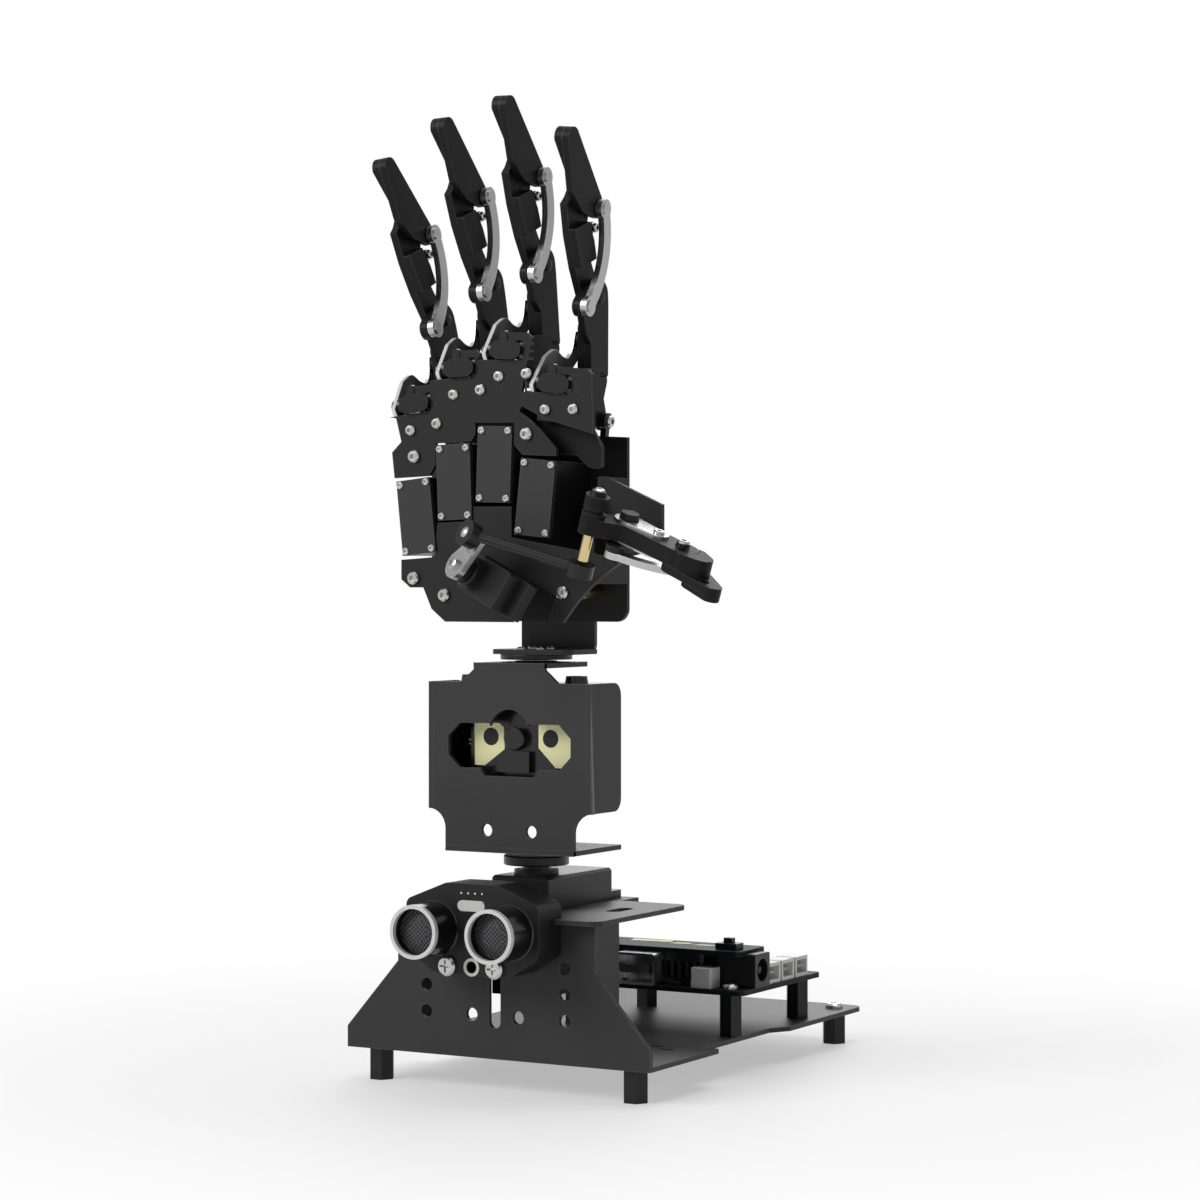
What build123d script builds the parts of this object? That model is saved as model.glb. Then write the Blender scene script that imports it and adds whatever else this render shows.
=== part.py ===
from build123d import *
import os
from math import atan2, cos, degrees, hypot, radians, sin

# Robotic hand on a turning forearm and a sheet metal stand, in millimetres.
# The origin is on the floor at the centre of the four feet.
# +Z is up, +X is right and the palm and the distance sensor face -Y.

# Common sheet, clearances and fasteners
sheet = 1.5
slip = 0.3
running = 0.06
screw_hole = 1.6
head_r = 2.0
head_h = 1.3

# Stand
foot_height = 10.0
foot_across = 7.0
foot_x = 44.6
foot_y = 67.6
stand_front = -74.0
stand_rear = 77.0
stand_half_front = 53.0
stand_half_waist = 47.0
stand_half_rear = 51.0
shoulder_y = -31.0
waist_end_y = 15.0
flare_y = 22.0
upright_half_top = 34.5
upright_skirt = 6.5
upright_slope_top = 37.5
stand_corner = 4.0
vent_r = 2.0
vent_column_x = 24.2
vent_rows = (22.9, 30.9, 38.6)
slot_width = 4.0
slot_bottom = 21.2
slot_top = 34.0
vent_inner_x = 8.1

# Servo deck
deck_z = 52.0
deck_front = -79.0
deck_rear = -22.0
deck_overhang = 3.5
deck_half = upright_half_top + deck_overhang
deck_corner = 4.0
tongue_half = 14.0
tongue_rear = -10.5
leg_width = 13.0

# Standard size servos that turn the forearm and the hand
servo_wide = 20.0
servo_long = 40.0
servo_shaft_inset = 10.3
servo_ear_over = 7.3
servo_ear_long = servo_long + 2 * servo_ear_over
servo_ear_thick = 2.5
ear_screw_inset = 3.6
servo_over_ear = 9.0
servo_under_ear = 26.0
servo_boss_r = 6.8
servo_boss_h = 2.0
turn_y = -49.7
horn_r = 10.0
horn_h = 3.0
horn_neck_h = 1.4
wrist_screw_circle = 4.6

# Distance sensor
sensor_z = 49.7
eye_gap = 26.0
eye_r = 8.0
eye_front = -99.0
eye_wall = 1.1
eye_rim = 1.6
housing_front = -87.0
housing_half = 23.0
housing_top = 63.5
housing_bottom = 36.6
housing_top_half = 9.0
housing_chin_half = 13.0
housing_side_top = 58.0
housing_side_bottom = 42.5
lamp_length = 10.0
lamp_r = 1.9
lamp_z = 57.0
lamp_proud = 0.4
eye_seat = 2.0
sensor_screw_z = 38.9
sensor_screw_x = 8.2

# Circuit boards
board_thick = 1.6
board_left = -18.6
board_right = 50.0
board_front = -9.6
board_rear = 46.6
standoff_across = 6.6
standoff_height = 13.0
standoff_xs = (-12.0, 43.6)
standoff_ys = (-5.0, 42.0)
shield_left = -12.0
shield_right = 46.5
shield_front = -6.0
shield_rear = 43.0
shield_gap = 11.4
header_wide = 2.5
header_x = 11.0
header_long = 38.0
usb_x = 13.2
usb_wide = 14.0
usb_high = 10.0
usb_proud = 2.0
usb_deep = 6.0
jack_y = 3.2
jack_wide = 10.0
jack_high = 10.6
jack_proud = 0.6
socket_ys = (13.6, 23.4, 33.2)
socket_wide = 8.6
socket_high = 6.5

# Forearm bracket, one folded sheet
bracket_half = 28.5
bracket_front = -66.0
bracket_shoulder_z = 82.0
bracket_top_z = 122.3
bracket_tab_rise = 5.9
bracket_tab_top = bracket_top_z + bracket_tab_rise
bracket_tab_half = 12.5
bracket_foot_half = 24.0
bracket_foot_depth = 29.0
flange_depth = 19.0
flange_corner = 4.0
window_half = 21.5
window_low = 96.3
window_high = 109.9
window_arc_r = 7.0
window_arc_top = 114.2
window_chin_half = 10.5
window_chin = 94.0
bracket_hole_r = 1.9
bracket_hole_x = 7.8
bracket_hole_z = 77.6
wrist_case_high = 34.0
wrist_cap_high = 3.0
wrist_ear_drop = 9.0
ear_block_xs = (-20.5, 16.5)
window_boss_x = -0.6
window_boss_drop = 21.4

# Palm plates
palm_front = -66.0
palm_back = -42.7
palm_bottom = 140.5
palm_screw_points = ((-34.0, 153.8), (-22.9, 148.6), (18.9, 149.4), (-33.8, 191.0), (6.3, 197.0))

# Fingers: place of each small servo's centre and how far the finger leans outward
fingers = {
    "pinky": (-32.9, 172.6, -6.0),
    "ring": (-19.2, 183.0, -2.0),
    "middle": (-4.9, 188.1, 2.0),
    "index": (9.5, 177.8, 6.0),
}
small_long = 23.0
small_wide = 12.0
small_shaft_z = 5.5
small_boss_r = 3.0
knuckle_y = -63.0
knuckle_z = 34.5
barrel_r = 3.2
ring_r = 5.2
cheek_in = 3.9
cheek_thick = 1.2
lever_reach = 25.6
knuckle_swing = 45.0
pip_y = -43.3
pip_z = 62.0
proximal_lean = 10.0
middle_lean = 23.0
distal_lean = 34.0
middle_length = 31.7
distal_length = 20.0
limb_thick = 5.0
lap_gap = 0.2
limb_r = 5.0
tip_r = 3.2
pin_r = 1.2
link_thick = 2.0
link_gap = 0.3
link_r = 3.0
link_low = (-8.7, -3.3)
link_high = (7.7, -2.7)
arm_thick = 1.5
arm_hub_r = 2.1
arm_tip_r = 1.5
arm_cap_r = 1.4
arm_cap_h = 0.3
rod_thick = 2.0

# Thumb
thumb_pivot = (44.0, -72.0, 168.0)
thumb_along = (0.90, -0.16, -0.38)
thumb_up = (0.34, -0.14, 0.93)
thumb_first = 21.5
thumb_knuckle = (thumb_first, 0)
thumb_thick = 5.0
thumb_end_r = 5.0
thumb_lever = (-5.6, -9.6)
thumb_nail = (38.0, -3.4)
thumb_nail_r = 2.8
thumb_hole = (35.0, -3.4)
thumb_ear = (thumb_first - 1.5, 7.0)
thumb_fixed_pin = (2.5, -6.0)
thumb_bow = (13.0, -1.6)
blade_step = 1.8
cap_r = 3.6
cap_height = 6.6
cap_groove = 1.4
cap_groove_depth = 0.9
plate_thick = 0.8
plate_half = 4.3
plate_reach = 12.0
pivot_r = 2.0
spacer_r = 1.6
spacer_long = 8.6
spacer_gap = 0.9
shelf_root = 14.0
gusset_y = -58.0
gusset_points = ((27.2, 184), (30, 184), (49, 175.5), (49, 162.5), (27.2, 158))
thumb_hub = (-9.5, -80.0, 157.7)
thumb_axis = (-0.35, -0.85, 0.40)
thumb_servo_long = (0.83, -0.48, -0.29)
thumb_arm_reach = 10.6
thumb_arm_turn = 68.9
arm_top = 0.8
ball_r = 2.6
rod_eye_r = 4.0
rod_eye_thick = 4.0
arm_end_r = 2.2
arm_step = 0.8
arm_relief = 0.6
rod_r = 1.5

os.makedirs("parts", exist_ok=True)


def save(solid, name):
    """Label a finished piece and write it."""
    solid.label = name
    export_step(solid, f"parts/{name}.step")


def hex_post(across, low, high, places):
    """Hexagonal posts standing at the given places, each tapped right through."""
    with BuildPart() as posts:
        with BuildSketch(Plane.XY.offset(low)):
            with Locations(*places):
                RegularPolygon(radius=across / 2, side_count=6, major_radius=False)
                Circle(screw_hole, mode=Mode.SUBTRACT)
        extrude(amount=high - low)
    return posts.part


def both_sides(points):
    """A left half outline, bottom to top, with its mirror image on the right."""
    return list(points) + [(-x, y) for x, y in reversed(points)]


# Stand: bottom plate and front upright, folded from one sheet
foot_places = [(x, y) for x in (-foot_x, foot_x) for y in (-foot_y, foot_y)]
standoff_places = [(x, y) for x in standoff_xs for y in standoff_ys]
floor_top = foot_height + sheet
with BuildPart() as base_plate:
    with BuildSketch(Plane.XY.offset(foot_height)):
        with BuildLine():
            Polyline(
                *both_sides([
                    (-stand_half_front, stand_front),
                    (-stand_half_front, shoulder_y),
                    (-stand_half_waist, shoulder_y),
                    (-stand_half_waist, waist_end_y),
                    (-stand_half_rear, flare_y),
                    (-stand_half_rear, stand_rear),
                ]),
                close=True,
            )
        face = make_face()
        fillet(face.vertices().sort_by(Axis.Y)[-2:], stand_corner)
    extrude(amount=sheet)
    with BuildSketch(Plane.XZ.offset(-stand_front)):
        with BuildLine():
            Polyline(
                *both_sides([
                    (-stand_half_front, foot_height),
                    (-stand_half_front, foot_height + upright_skirt),
                    (-upright_half_top, upright_slope_top),
                    (-upright_half_top, deck_z),
                ]),
                close=True,
            )
        make_face()
        with Locations(*[(s * vent_column_x, z) for s in (-1, 1) for z in vent_rows]):
            Circle(vent_r, mode=Mode.SUBTRACT)
        with Locations((-vent_inner_x, vent_rows[0]), (vent_inner_x, vent_rows[0])):
            Circle(vent_r, mode=Mode.SUBTRACT)
        with Locations((0, (slot_bottom + slot_top) / 2)):
            SlotOverall(slot_top - slot_bottom + slot_width, slot_width, rotation=90, mode=Mode.SUBTRACT)
        with Locations((-sensor_screw_x, sensor_screw_z), (sensor_screw_x, sensor_screw_z)):
            Circle(screw_hole, mode=Mode.SUBTRACT)
    extrude(amount=-sheet)
    with BuildSketch(Plane.XY.offset(floor_top)):
        with Locations(*foot_places, *standoff_places):
            Circle(screw_hole)
        with Locations((34, -44), (40, -40), (34, -36), (-34, -44), (-40, -40), (-34, -36)):
            SlotOverall(5, 1.6)
    extrude(amount=-sheet, mode=Mode.SUBTRACT)
save(base_plate.part, "base_plate")

save(hex_post(foot_across, 0, foot_height, foot_places), "feet")

board_z = floor_top + standoff_height
save(hex_post(standoff_across, floor_top, board_z, standoff_places), "board_standoffs")

# Servo deck: top plate with two folded legs
deck_top = deck_z + sheet
servo_front = turn_y - servo_shaft_inset
servo_rear = servo_front + servo_long
with BuildPart() as servo_deck:
    with BuildSketch(Plane.XY.offset(deck_z)):
        with Locations((0, (deck_front + deck_rear) / 2)):
            RectangleRounded(2 * deck_half, deck_rear - deck_front, deck_corner)
        with Locations((0, (deck_rear + tongue_rear) / 2)):
            Rectangle(2 * tongue_half, tongue_rear - deck_rear)
        with Locations((0, (servo_front + servo_rear) / 2)):
            Rectangle(servo_wide + 2 * slip, servo_long + 2 * slip, mode=Mode.SUBTRACT)
        with Locations((-27, -46), (27, -46)):
            SlotOverall(12, 5, rotation=90, mode=Mode.SUBTRACT)
        with Locations((0, deck_front)):
            Rectangle(2 * (housing_half + slip), 2 * (stand_front - deck_front), mode=Mode.SUBTRACT)
    extrude(amount=sheet)
    with BuildSketch(Plane.YZ.offset(upright_half_top - sheet)):
        with Locations((stand_front + sheet + leg_width / 2, (floor_top + deck_z) / 2)):
            Rectangle(leg_width, deck_z - floor_top)
    extrude(amount=sheet)
    mirror(about=Plane.YZ)
save(servo_deck.part, "servo_deck")

# Servo that turns the forearm
with BuildPart() as base_servo:
    with BuildSketch(Plane.XY.offset(deck_top - servo_under_ear)):
        with Locations((0, (servo_front + servo_rear) / 2)):
            RectangleRounded(servo_wide, servo_long, 1.0)
    extrude(amount=servo_under_ear + servo_ear_thick + servo_over_ear - 1.5)
    chamfer(base_servo.faces().sort_by(Axis.Z)[-1].edges(), 0.8)
    with BuildSketch(Plane.XY.offset(deck_top)):
        with Locations((0, (servo_front + servo_rear) / 2)):
            RectangleRounded(servo_wide - 1.0, servo_ear_long, 1.5)
    extrude(amount=servo_ear_thick)
    servo_top = deck_top + servo_ear_thick + servo_over_ear - 1.5
    with BuildSketch(Plane.XY.offset(servo_top)):
        with Locations((0, turn_y)):
            Circle(servo_boss_r)
    extrude(amount=servo_boss_h - 0.5)
    with BuildSketch(Plane.XY.offset(deck_top - servo_under_ear)):
        with Locations((0, turn_y)):
            Circle(screw_hole)
    extrude(amount=3, mode=Mode.SUBTRACT)
save(base_servo.part, "base_servo")


# Distance sensor: moulded housing, two barrels with white rims, and a lamp window
housing_back = stand_front
with BuildPart() as sensor_housing:
    with BuildSketch(Plane.XZ.offset(-housing_back)):
        with BuildLine():
            Polyline(
                *both_sides([
                    (-housing_chin_half, housing_bottom),
                    (-housing_half, housing_side_bottom),
                    (-housing_half, housing_side_top),
                    (-housing_top_half, housing_top),
                ]),
                close=True,
            )
        face = make_face()
        fillet(face.vertices(), 2.5)
    extrude(amount=housing_back - housing_front)
    with BuildSketch(Plane.XZ.offset(-housing_front)):
        with Locations((-eye_gap / 2, sensor_z), (eye_gap / 2, sensor_z)):
            Circle(eye_r - eye_wall)
        with Locations((0, lamp_z)):
            SlotOverall(lamp_length, 2 * lamp_r)
        with Locations((-sensor_screw_x, sensor_screw_z), (sensor_screw_x, sensor_screw_z)):
            Circle(screw_hole)
    extrude(amount=-eye_seat, mode=Mode.SUBTRACT)
    with BuildSketch(Plane.XZ.offset(-housing_front)):
        with Locations((0, sensor_screw_z)):
            Circle(1.7)
    extrude(amount=-5, mode=Mode.SUBTRACT)
save(sensor_housing.part, "sensor_housing")

eye_places = [(-eye_gap / 2, sensor_z), (eye_gap / 2, sensor_z)]
with BuildPart() as sensor_barrels:
    with BuildSketch(Plane.XZ.offset(-housing_front)):
        with Locations(*eye_places):
            Circle(eye_r)
    extrude(amount=housing_front - eye_front - eye_rim)
    with BuildSketch(Plane.XZ.offset(-eye_front - eye_rim)):
        with Locations(*eye_places):
            Circle(eye_r - eye_wall)
            Circle(3.4, mode=Mode.SUBTRACT)
    extrude(amount=-3.2, mode=Mode.SUBTRACT)
    with BuildSketch(Plane.XZ.offset(-housing_front)):
        with Locations(*eye_places):
            Circle(eye_r - eye_wall - slip)
    extrude(amount=-eye_seat)
save(sensor_barrels.part, "sensor_barrels")

with BuildPart() as sensor_rings:
    with BuildSketch(Plane.XZ.offset(-eye_front - eye_rim)):
        with Locations(*eye_places):
            Circle(eye_r)
            Circle(eye_r - eye_wall, mode=Mode.SUBTRACT)
    extrude(amount=eye_rim)
    with BuildSketch(Plane.XZ.offset(-housing_front + lamp_proud)):
        with Locations((0, lamp_z)):
            SlotOverall(lamp_length - 2 * slip, 2 * (lamp_r - slip))
    extrude(amount=-eye_seat - lamp_proud)
save(sensor_rings.part, "sensor_rings")

# Lower circuit board with its connectors, and the board stacked on it
board_top = board_z + board_thick
shield_z = board_top + shield_gap
with BuildPart() as controller_board:
    with BuildSketch(Plane.XY.offset(board_z)):
        with Locations(((board_left + board_right) / 2, (board_front + board_rear) / 2)):
            RectangleRounded(board_right - board_left, board_rear - board_front, 2.0)
        with Locations(*standoff_places):
            Circle(screw_hole, mode=Mode.SUBTRACT)
    extrude(amount=board_thick)
    with BuildSketch(Plane.XY.offset(board_top)):
        with Locations((35.2, board_front + 4.2)):
            Rectangle(7.0, 7.0)
        with Locations((14, 20)):
            Rectangle(16, 16)
        with Locations((-6, 24)):
            Circle(3.2)
    extrude(amount=6)
save(controller_board.part, "controller_board")

with BuildPart() as shield_board:
    with BuildSketch(Plane.XY.offset(shield_z)):
        with Locations(((shield_left + shield_right) / 2, (shield_front + shield_rear) / 2)):
            RectangleRounded(shield_right - shield_left, shield_rear - shield_front, 2.0)
    extrude(amount=board_thick)
    with BuildSketch(Plane.XY.offset(board_top)):
        with Locations((header_x, shield_front + 2.2), (header_x, shield_rear - 2.2)):
            Rectangle(header_long, header_wide)
    extrude(amount=shield_gap)
    with BuildSketch(Plane.XY.offset(shield_z + board_thick)):
        with Locations((-4, 3), (37, 3)):
            Rectangle(8.0, 5.0)
    extrude(amount=2.2)
    with BuildSketch(Plane.XY.offset(shield_z + board_thick + 2.2)):
        with Locations((-4, 3), (37, 3)):
            Rectangle(2.6, 2.6)
    extrude(amount=1.6)
save(shield_board.part, "shield_board")

usb_mouth = board_front - usb_proud
with BuildPart() as usb_socket:
    with BuildSketch(Plane.XZ.offset(-usb_mouth)):
        with Locations((usb_x, board_top + usb_high / 2)):
            RectangleRounded(usb_wide, usb_high, 1.0)
    extrude(amount=-usb_deep)
    with BuildSketch(Plane.XZ.offset(-usb_mouth)):
        with Locations((usb_x, board_top + usb_high / 2)):
            Rectangle(usb_wide - 1.6, usb_high - 1.6)
            Rectangle(usb_wide - 3.6, 2.6, mode=Mode.SUBTRACT)
    extrude(amount=-usb_deep + 1.2, mode=Mode.SUBTRACT)
save(usb_socket.part, "usb_socket")

jack_mouth = board_right + jack_proud
with BuildPart() as power_jack:
    with BuildSketch(Plane.YZ.offset(jack_mouth)):
        with Locations((jack_y, board_top + jack_high / 2)):
            RectangleRounded(jack_wide, jack_high, 0.8)
            Circle(3.6, mode=Mode.SUBTRACT)
    extrude(amount=-9)
    with BuildSketch(Plane.YZ.offset(jack_mouth - 9)):
        with Locations((jack_y, board_top + jack_high / 2 - 0.5)):
            Rectangle(jack_wide - 1, jack_high - 1)
    extrude(amount=-4)
    with BuildSketch(Plane.YZ.offset(jack_mouth - 9)):
        with Locations((jack_y, board_top + jack_high / 2)):
            Circle(1.1)
    extrude(amount=8)
save(power_jack.part, "power_jack")

with BuildPart() as servo_sockets:
    with BuildSketch(Plane.XY.offset(board_top)):
        with Locations(*[(board_right - 4.0, y) for y in socket_ys]):
            Rectangle(7.0, socket_wide)
    extrude(amount=socket_high)
    with BuildSketch(Plane.YZ.offset(board_right - 0.5)):
        with Locations(*[(y, board_top + socket_high / 2) for y in socket_ys]):
            Rectangle(socket_wide - 1.8, socket_high - 2.2)
    extrude(amount=-5, mode=Mode.SUBTRACT)
    with BuildSketch(Plane.YZ.offset(board_right - 5.5)):
        with Locations(*[(y + d, board_top + socket_high / 2) for y in socket_ys for d in (-2, 0, 2)]):
            Rectangle(0.7, 0.7)
    extrude(amount=4)
save(servo_sockets.part, "servo_sockets")


def plain_heads(plane, places, radius=head_r, height=head_h):
    """Round screw heads standing on a plane."""
    with BuildPart() as heads:
        with BuildSketch(plane):
            with Locations(*places):
                Circle(radius)
        extrude(amount=height, taper=14)
    return heads.part


base_screws = plain_heads(Plane.XY.offset(floor_top), foot_places, 2.8, 1.6)
base_screws += plain_heads(Plane.XY.offset(board_top), standoff_places, 2.5, 1.5)
sensor_screws = [(-sensor_screw_x, sensor_screw_z), (sensor_screw_x, sensor_screw_z)]
base_screws += plain_heads(Plane.XZ.offset(-housing_front), sensor_screws, 3.0, 1.8)
ear_screw_y = servo_rear + servo_ear_over - ear_screw_inset
ear_front_y = servo_front - servo_ear_over + ear_screw_inset
base_screws += plain_heads(
    Plane.XY.offset(deck_top + servo_ear_thick),
    [(x, y) for x in (-5, 5) for y in (ear_front_y, ear_screw_y)],
    2.2,
    1.4,
)
save(base_screws, "base_screws")

# Forearm: horn disc, folded bracket and the servo it holds
horn_bottom = servo_top + servo_boss_h - 0.5 + horn_neck_h
horn_top = horn_bottom + horn_h
with BuildPart() as base_horn:
    with BuildSketch(Plane.XY.offset(horn_bottom)):
        with Locations((0, turn_y)):
            Circle(horn_r)
    extrude(amount=horn_h)
    fillet(base_horn.edges(), 0.5)
    with BuildSketch(Plane.XY.offset(servo_top + servo_boss_h - 0.5 + slip)):
        with Locations((0, turn_y)):
            Circle(4.2)
    extrude(amount=horn_neck_h - slip + 1)
save(base_horn.part, "base_horn")

with BuildPart() as forearm_bracket:
    with BuildSketch(Plane.XZ.offset(-bracket_front)):
        with BuildLine():
            Polyline(
                *both_sides([
                    (-bracket_foot_half, horn_top),
                    (-bracket_foot_half, bracket_shoulder_z - 6),
                    (-bracket_half, bracket_shoulder_z),
                    (-bracket_half, bracket_top_z),
                    (-bracket_tab_half - 4.5, bracket_top_z),
                    (-bracket_tab_half, bracket_tab_top - 2),
                    (-bracket_tab_half, bracket_tab_top),
                ]),
                close=True,
            )
        make_face()
        with Locations((-bracket_hole_x, bracket_hole_z), (bracket_hole_x, bracket_hole_z)):
            Circle(bracket_hole_r, mode=Mode.SUBTRACT)
    extrude(amount=-sheet)
    with BuildSketch(Plane.XZ.offset(-bracket_front), mode=Mode.PRIVATE) as window:
        with BuildLine():
            Polyline(
                *both_sides([
                    (-window_chin_half + 2, window_chin),
                    (-window_chin_half, window_chin + 2.3),
                    (-window_half + 4, window_low),
                    (-window_half, window_low + 4),
                    (-window_half, window_high - 4),
                    (-window_half + 4, window_high),
                ]),
                close=True,
            )
        make_face()
        with Locations((0, window_arc_top - window_arc_r)):
            Circle(window_arc_r)
    extrude(window.sketch, amount=-sheet, mode=Mode.SUBTRACT)
    with BuildSketch(Plane.YZ.offset(bracket_half - sheet)):
        with BuildLine():
            Polyline(
                (bracket_front, bracket_shoulder_z - 1),
                (bracket_front + flange_depth, bracket_shoulder_z - 5),
                (bracket_front + flange_depth, bracket_top_z),
                (bracket_front, bracket_top_z),
                close=True,
            )
        face = make_face()
        fillet(face.vertices().sort_by(Axis.Y)[-2:], flange_corner)
    extrude(amount=sheet)
    mirror(about=Plane.YZ)
    with BuildSketch(Plane.XY.offset(horn_top)):
        with Locations((0, bracket_front + bracket_foot_depth / 2)):
            Rectangle(2 * bracket_foot_half, bracket_foot_depth)
    extrude(amount=sheet)
    with BuildSketch(Plane.XY.offset(bracket_tab_top - sheet)):
        with Locations((0, (bracket_front + turn_y + 11) / 2)):
            Rectangle(2 * bracket_tab_half, turn_y + 11 - bracket_front)
        with Locations((0, turn_y)):
            Circle(servo_boss_r + slip, mode=Mode.SUBTRACT)
    extrude(amount=sheet)
save(forearm_bracket.part, "forearm_bracket")

wrist_top = bracket_tab_top - sheet
wrist_left = -servo_shaft_inset - 1.5
wrist_long = bracket_half - sheet - wrist_left
wrist_front = turn_y - servo_wide / 2
with BuildPart() as wrist_servo:
    with BuildSketch(Plane.XY.offset(wrist_top - wrist_cap_high - wrist_case_high)):
        with Locations((wrist_left + wrist_long / 2, turn_y)):
            RectangleRounded(wrist_long, servo_wide, 1.0)
    extrude(amount=wrist_case_high)
    with BuildSketch(Plane.XY.offset(wrist_top - wrist_cap_high)):
        with Locations((wrist_left + wrist_long / 2 - 4, turn_y)):
            Rectangle(wrist_long - 12, servo_wide - 3)
    extrude(amount=wrist_cap_high)
    with BuildSketch(Plane.XY.offset(wrist_top)):
        with Locations((0, turn_y)):
            Circle(servo_boss_r)
    extrude(amount=servo_boss_h)
    with BuildSketch(Plane.XY.offset(wrist_top - wrist_ear_drop)):
        with Locations((0, turn_y)):
            RectangleRounded(2 * (bracket_half - sheet - slip), servo_wide - 1.0, 1.5)
    extrude(amount=servo_ear_thick)
    with BuildSketch(Plane.XY.offset(wrist_top - wrist_ear_drop + servo_ear_thick)):
        with Locations(*[(x, turn_y - 4) for x in ear_block_xs]):
            Rectangle(6.0, 8.0)
    extrude(amount=4.2, taper=14)
    window_boss_z = wrist_top - window_boss_drop
    with BuildSketch(Plane.XZ.offset(-wrist_front)):
        with Locations((window_boss_x, window_boss_z)):
            Circle(3.6)
    extrude(amount=2.6)
    with BuildSketch(Plane.XZ.offset(-wrist_front)):
        with BuildLine():
            Polyline(
                (window_boss_x - 7.9, window_boss_z - 10.3),
                (window_boss_x + 5.1, window_boss_z - 10.3),
                (window_boss_x + 5.1, window_boss_z - 3.9),
                (window_boss_x - 2.6, window_boss_z - 3.9),
                close=True,
            )
        make_face()
    extrude(amount=2.0)
save(wrist_servo.part, "wrist_servo")


def finger_place(finger):
    """Frame of a finger: its servo's centre, leaned outward about Y."""
    x, z, splay = finger
    return Location((x, 0, z), (0, splay, 0))


def side_plane(finger, y, z, lean=0.0, x=0.0):
    """Plane across a finger: its x is dorsal, its y runs up the limb, its normal is lateral."""
    turn = radians(lean)
    local = Plane(origin=(x, y, z), x_dir=(0, cos(turn), sin(turn)), z_dir=(1, 0, 0))
    return Plane(finger_place(finger) * Location(local))


def face_plane(finger, y):
    """Plane parallel to the palm, facing forward, with its x lateral and its y up the finger."""
    local = Plane(origin=(0, y, 0), x_dir=(1, 0, 0), z_dir=(0, -1, 0))
    return Plane(finger_place(finger) * Location(local))


def palm_point(finger, x, z):
    """World x and z of a point given in a finger's own frame."""
    base_x, base_z, splay = finger
    turn = radians(splay)
    return (base_x + x * cos(turn) + z * sin(turn), base_z - x * sin(turn) + z * cos(turn))


# Hand: second horn disc and the angle bracket that carries the palm
wrist_horn_bottom = wrist_top + servo_boss_h + slip
wrist_horn_top = wrist_horn_bottom + 1.6
with BuildPart() as wrist_horn:
    with BuildSketch(Plane.XY.offset(wrist_horn_bottom)):
        with Locations((0, turn_y)):
            Circle(horn_r + 1.0)
    extrude(amount=wrist_horn_top - wrist_horn_bottom)
    fillet(wrist_horn.edges(), 0.3)
save(wrist_horn.part, "wrist_horn")

wrist_foot_left = -12.0
wrist_foot_right = 16.5
with BuildPart() as wrist_bracket:
    with BuildSketch(Plane.XY.offset(wrist_horn_top)):
        with BuildLine():
            Polyline(
                (wrist_foot_left, turn_y - 8),
                (wrist_foot_left, palm_back + sheet),
                (wrist_foot_right, palm_back + sheet),
                (wrist_foot_right, turn_y - 8),
                close=True,
            )
        face = make_face()
        fillet(face.vertices().sort_by(Axis.Y)[:2], 3.0)
    extrude(amount=sheet)
    with BuildSketch(Plane.XZ.offset(-palm_back - sheet)):
        with BuildLine():
            Polyline(
                (wrist_foot_left + 2.5, wrist_horn_top),
                (wrist_foot_right, wrist_horn_top),
                (wrist_foot_right, palm_bottom + 22),
                (wrist_foot_left + 2.5, palm_bottom + 22),
                close=True,
            )
        face = make_face()
        fillet(face.vertices().sort_by(Axis.Z)[-2:], 3.0)
    extrude(amount=sheet)
save(wrist_bracket.part, "wrist_bracket")

# Palm: upper front plate, lower front plate and back plate
barrel_half = cheek_in + cheek_thick + 1.2
notch_half = barrel_half + 0.5
notch_low = knuckle_z - ring_r - slip
plate_top = knuckle_z + 3.4
knuckle_screws = [(0.6, 26.6), (10.2, 27.4)]
names = list(fingers)


def knuckle_edge(finger, left, right):
    """Top edge of the front plate over one knuckle, with its open notch."""
    local = [
        (left, plate_top - 2.2),
        (left + 1.2, plate_top - 1.0),
        (-notch_half, plate_top - 1.0),
        (-notch_half, notch_low),
        (notch_half, notch_low),
        (notch_half, plate_top),
        (right, plate_top),
    ]
    return [palm_point(finger, x, z) for x, z in local]


with BuildPart() as palm_front_plate:
    with BuildSketch(Plane.XZ.offset(-palm_front)):
        with BuildLine():
            Polyline(
                (-28.5, 185.0),
                (-41.1, 184.5),
                (-42.0, 192.4),
                (-38.6, 195.6),
                *knuckle_edge(fingers["pinky"], -7.9, 8.6),
                *knuckle_edge(fingers["ring"], -7.6, 8.6),
                *knuckle_edge(fingers["middle"], -7.6, 8.0),
                *knuckle_edge(fingers["index"], -7.6, 14.6),
                (28.7, 196.5),
                (12.5, 201.5),
                (4.5, 205.5),
                (3.5, 203.8),
                (11.0, 198.4),
                (16.6, 192.5),
                (16.4, 190.2),
                (4.8, 190.8),
                (1.9, 193.8),
                (1.9, 200.6),
                (-11.9, 200.9),
                (-11.9, 197.4),
                (-13.3, 195.3),
                (-26.2, 194.9),
                (-26.2, 188.3),
                close=True,
            )
        make_face()
        with Locations((-37.2, 190.8), (11.3, 196.6)):
            Circle(2.0, mode=Mode.SUBTRACT)
    extrude(amount=-sheet)
save(palm_front_plate.part, "palm_front_plate")

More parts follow.
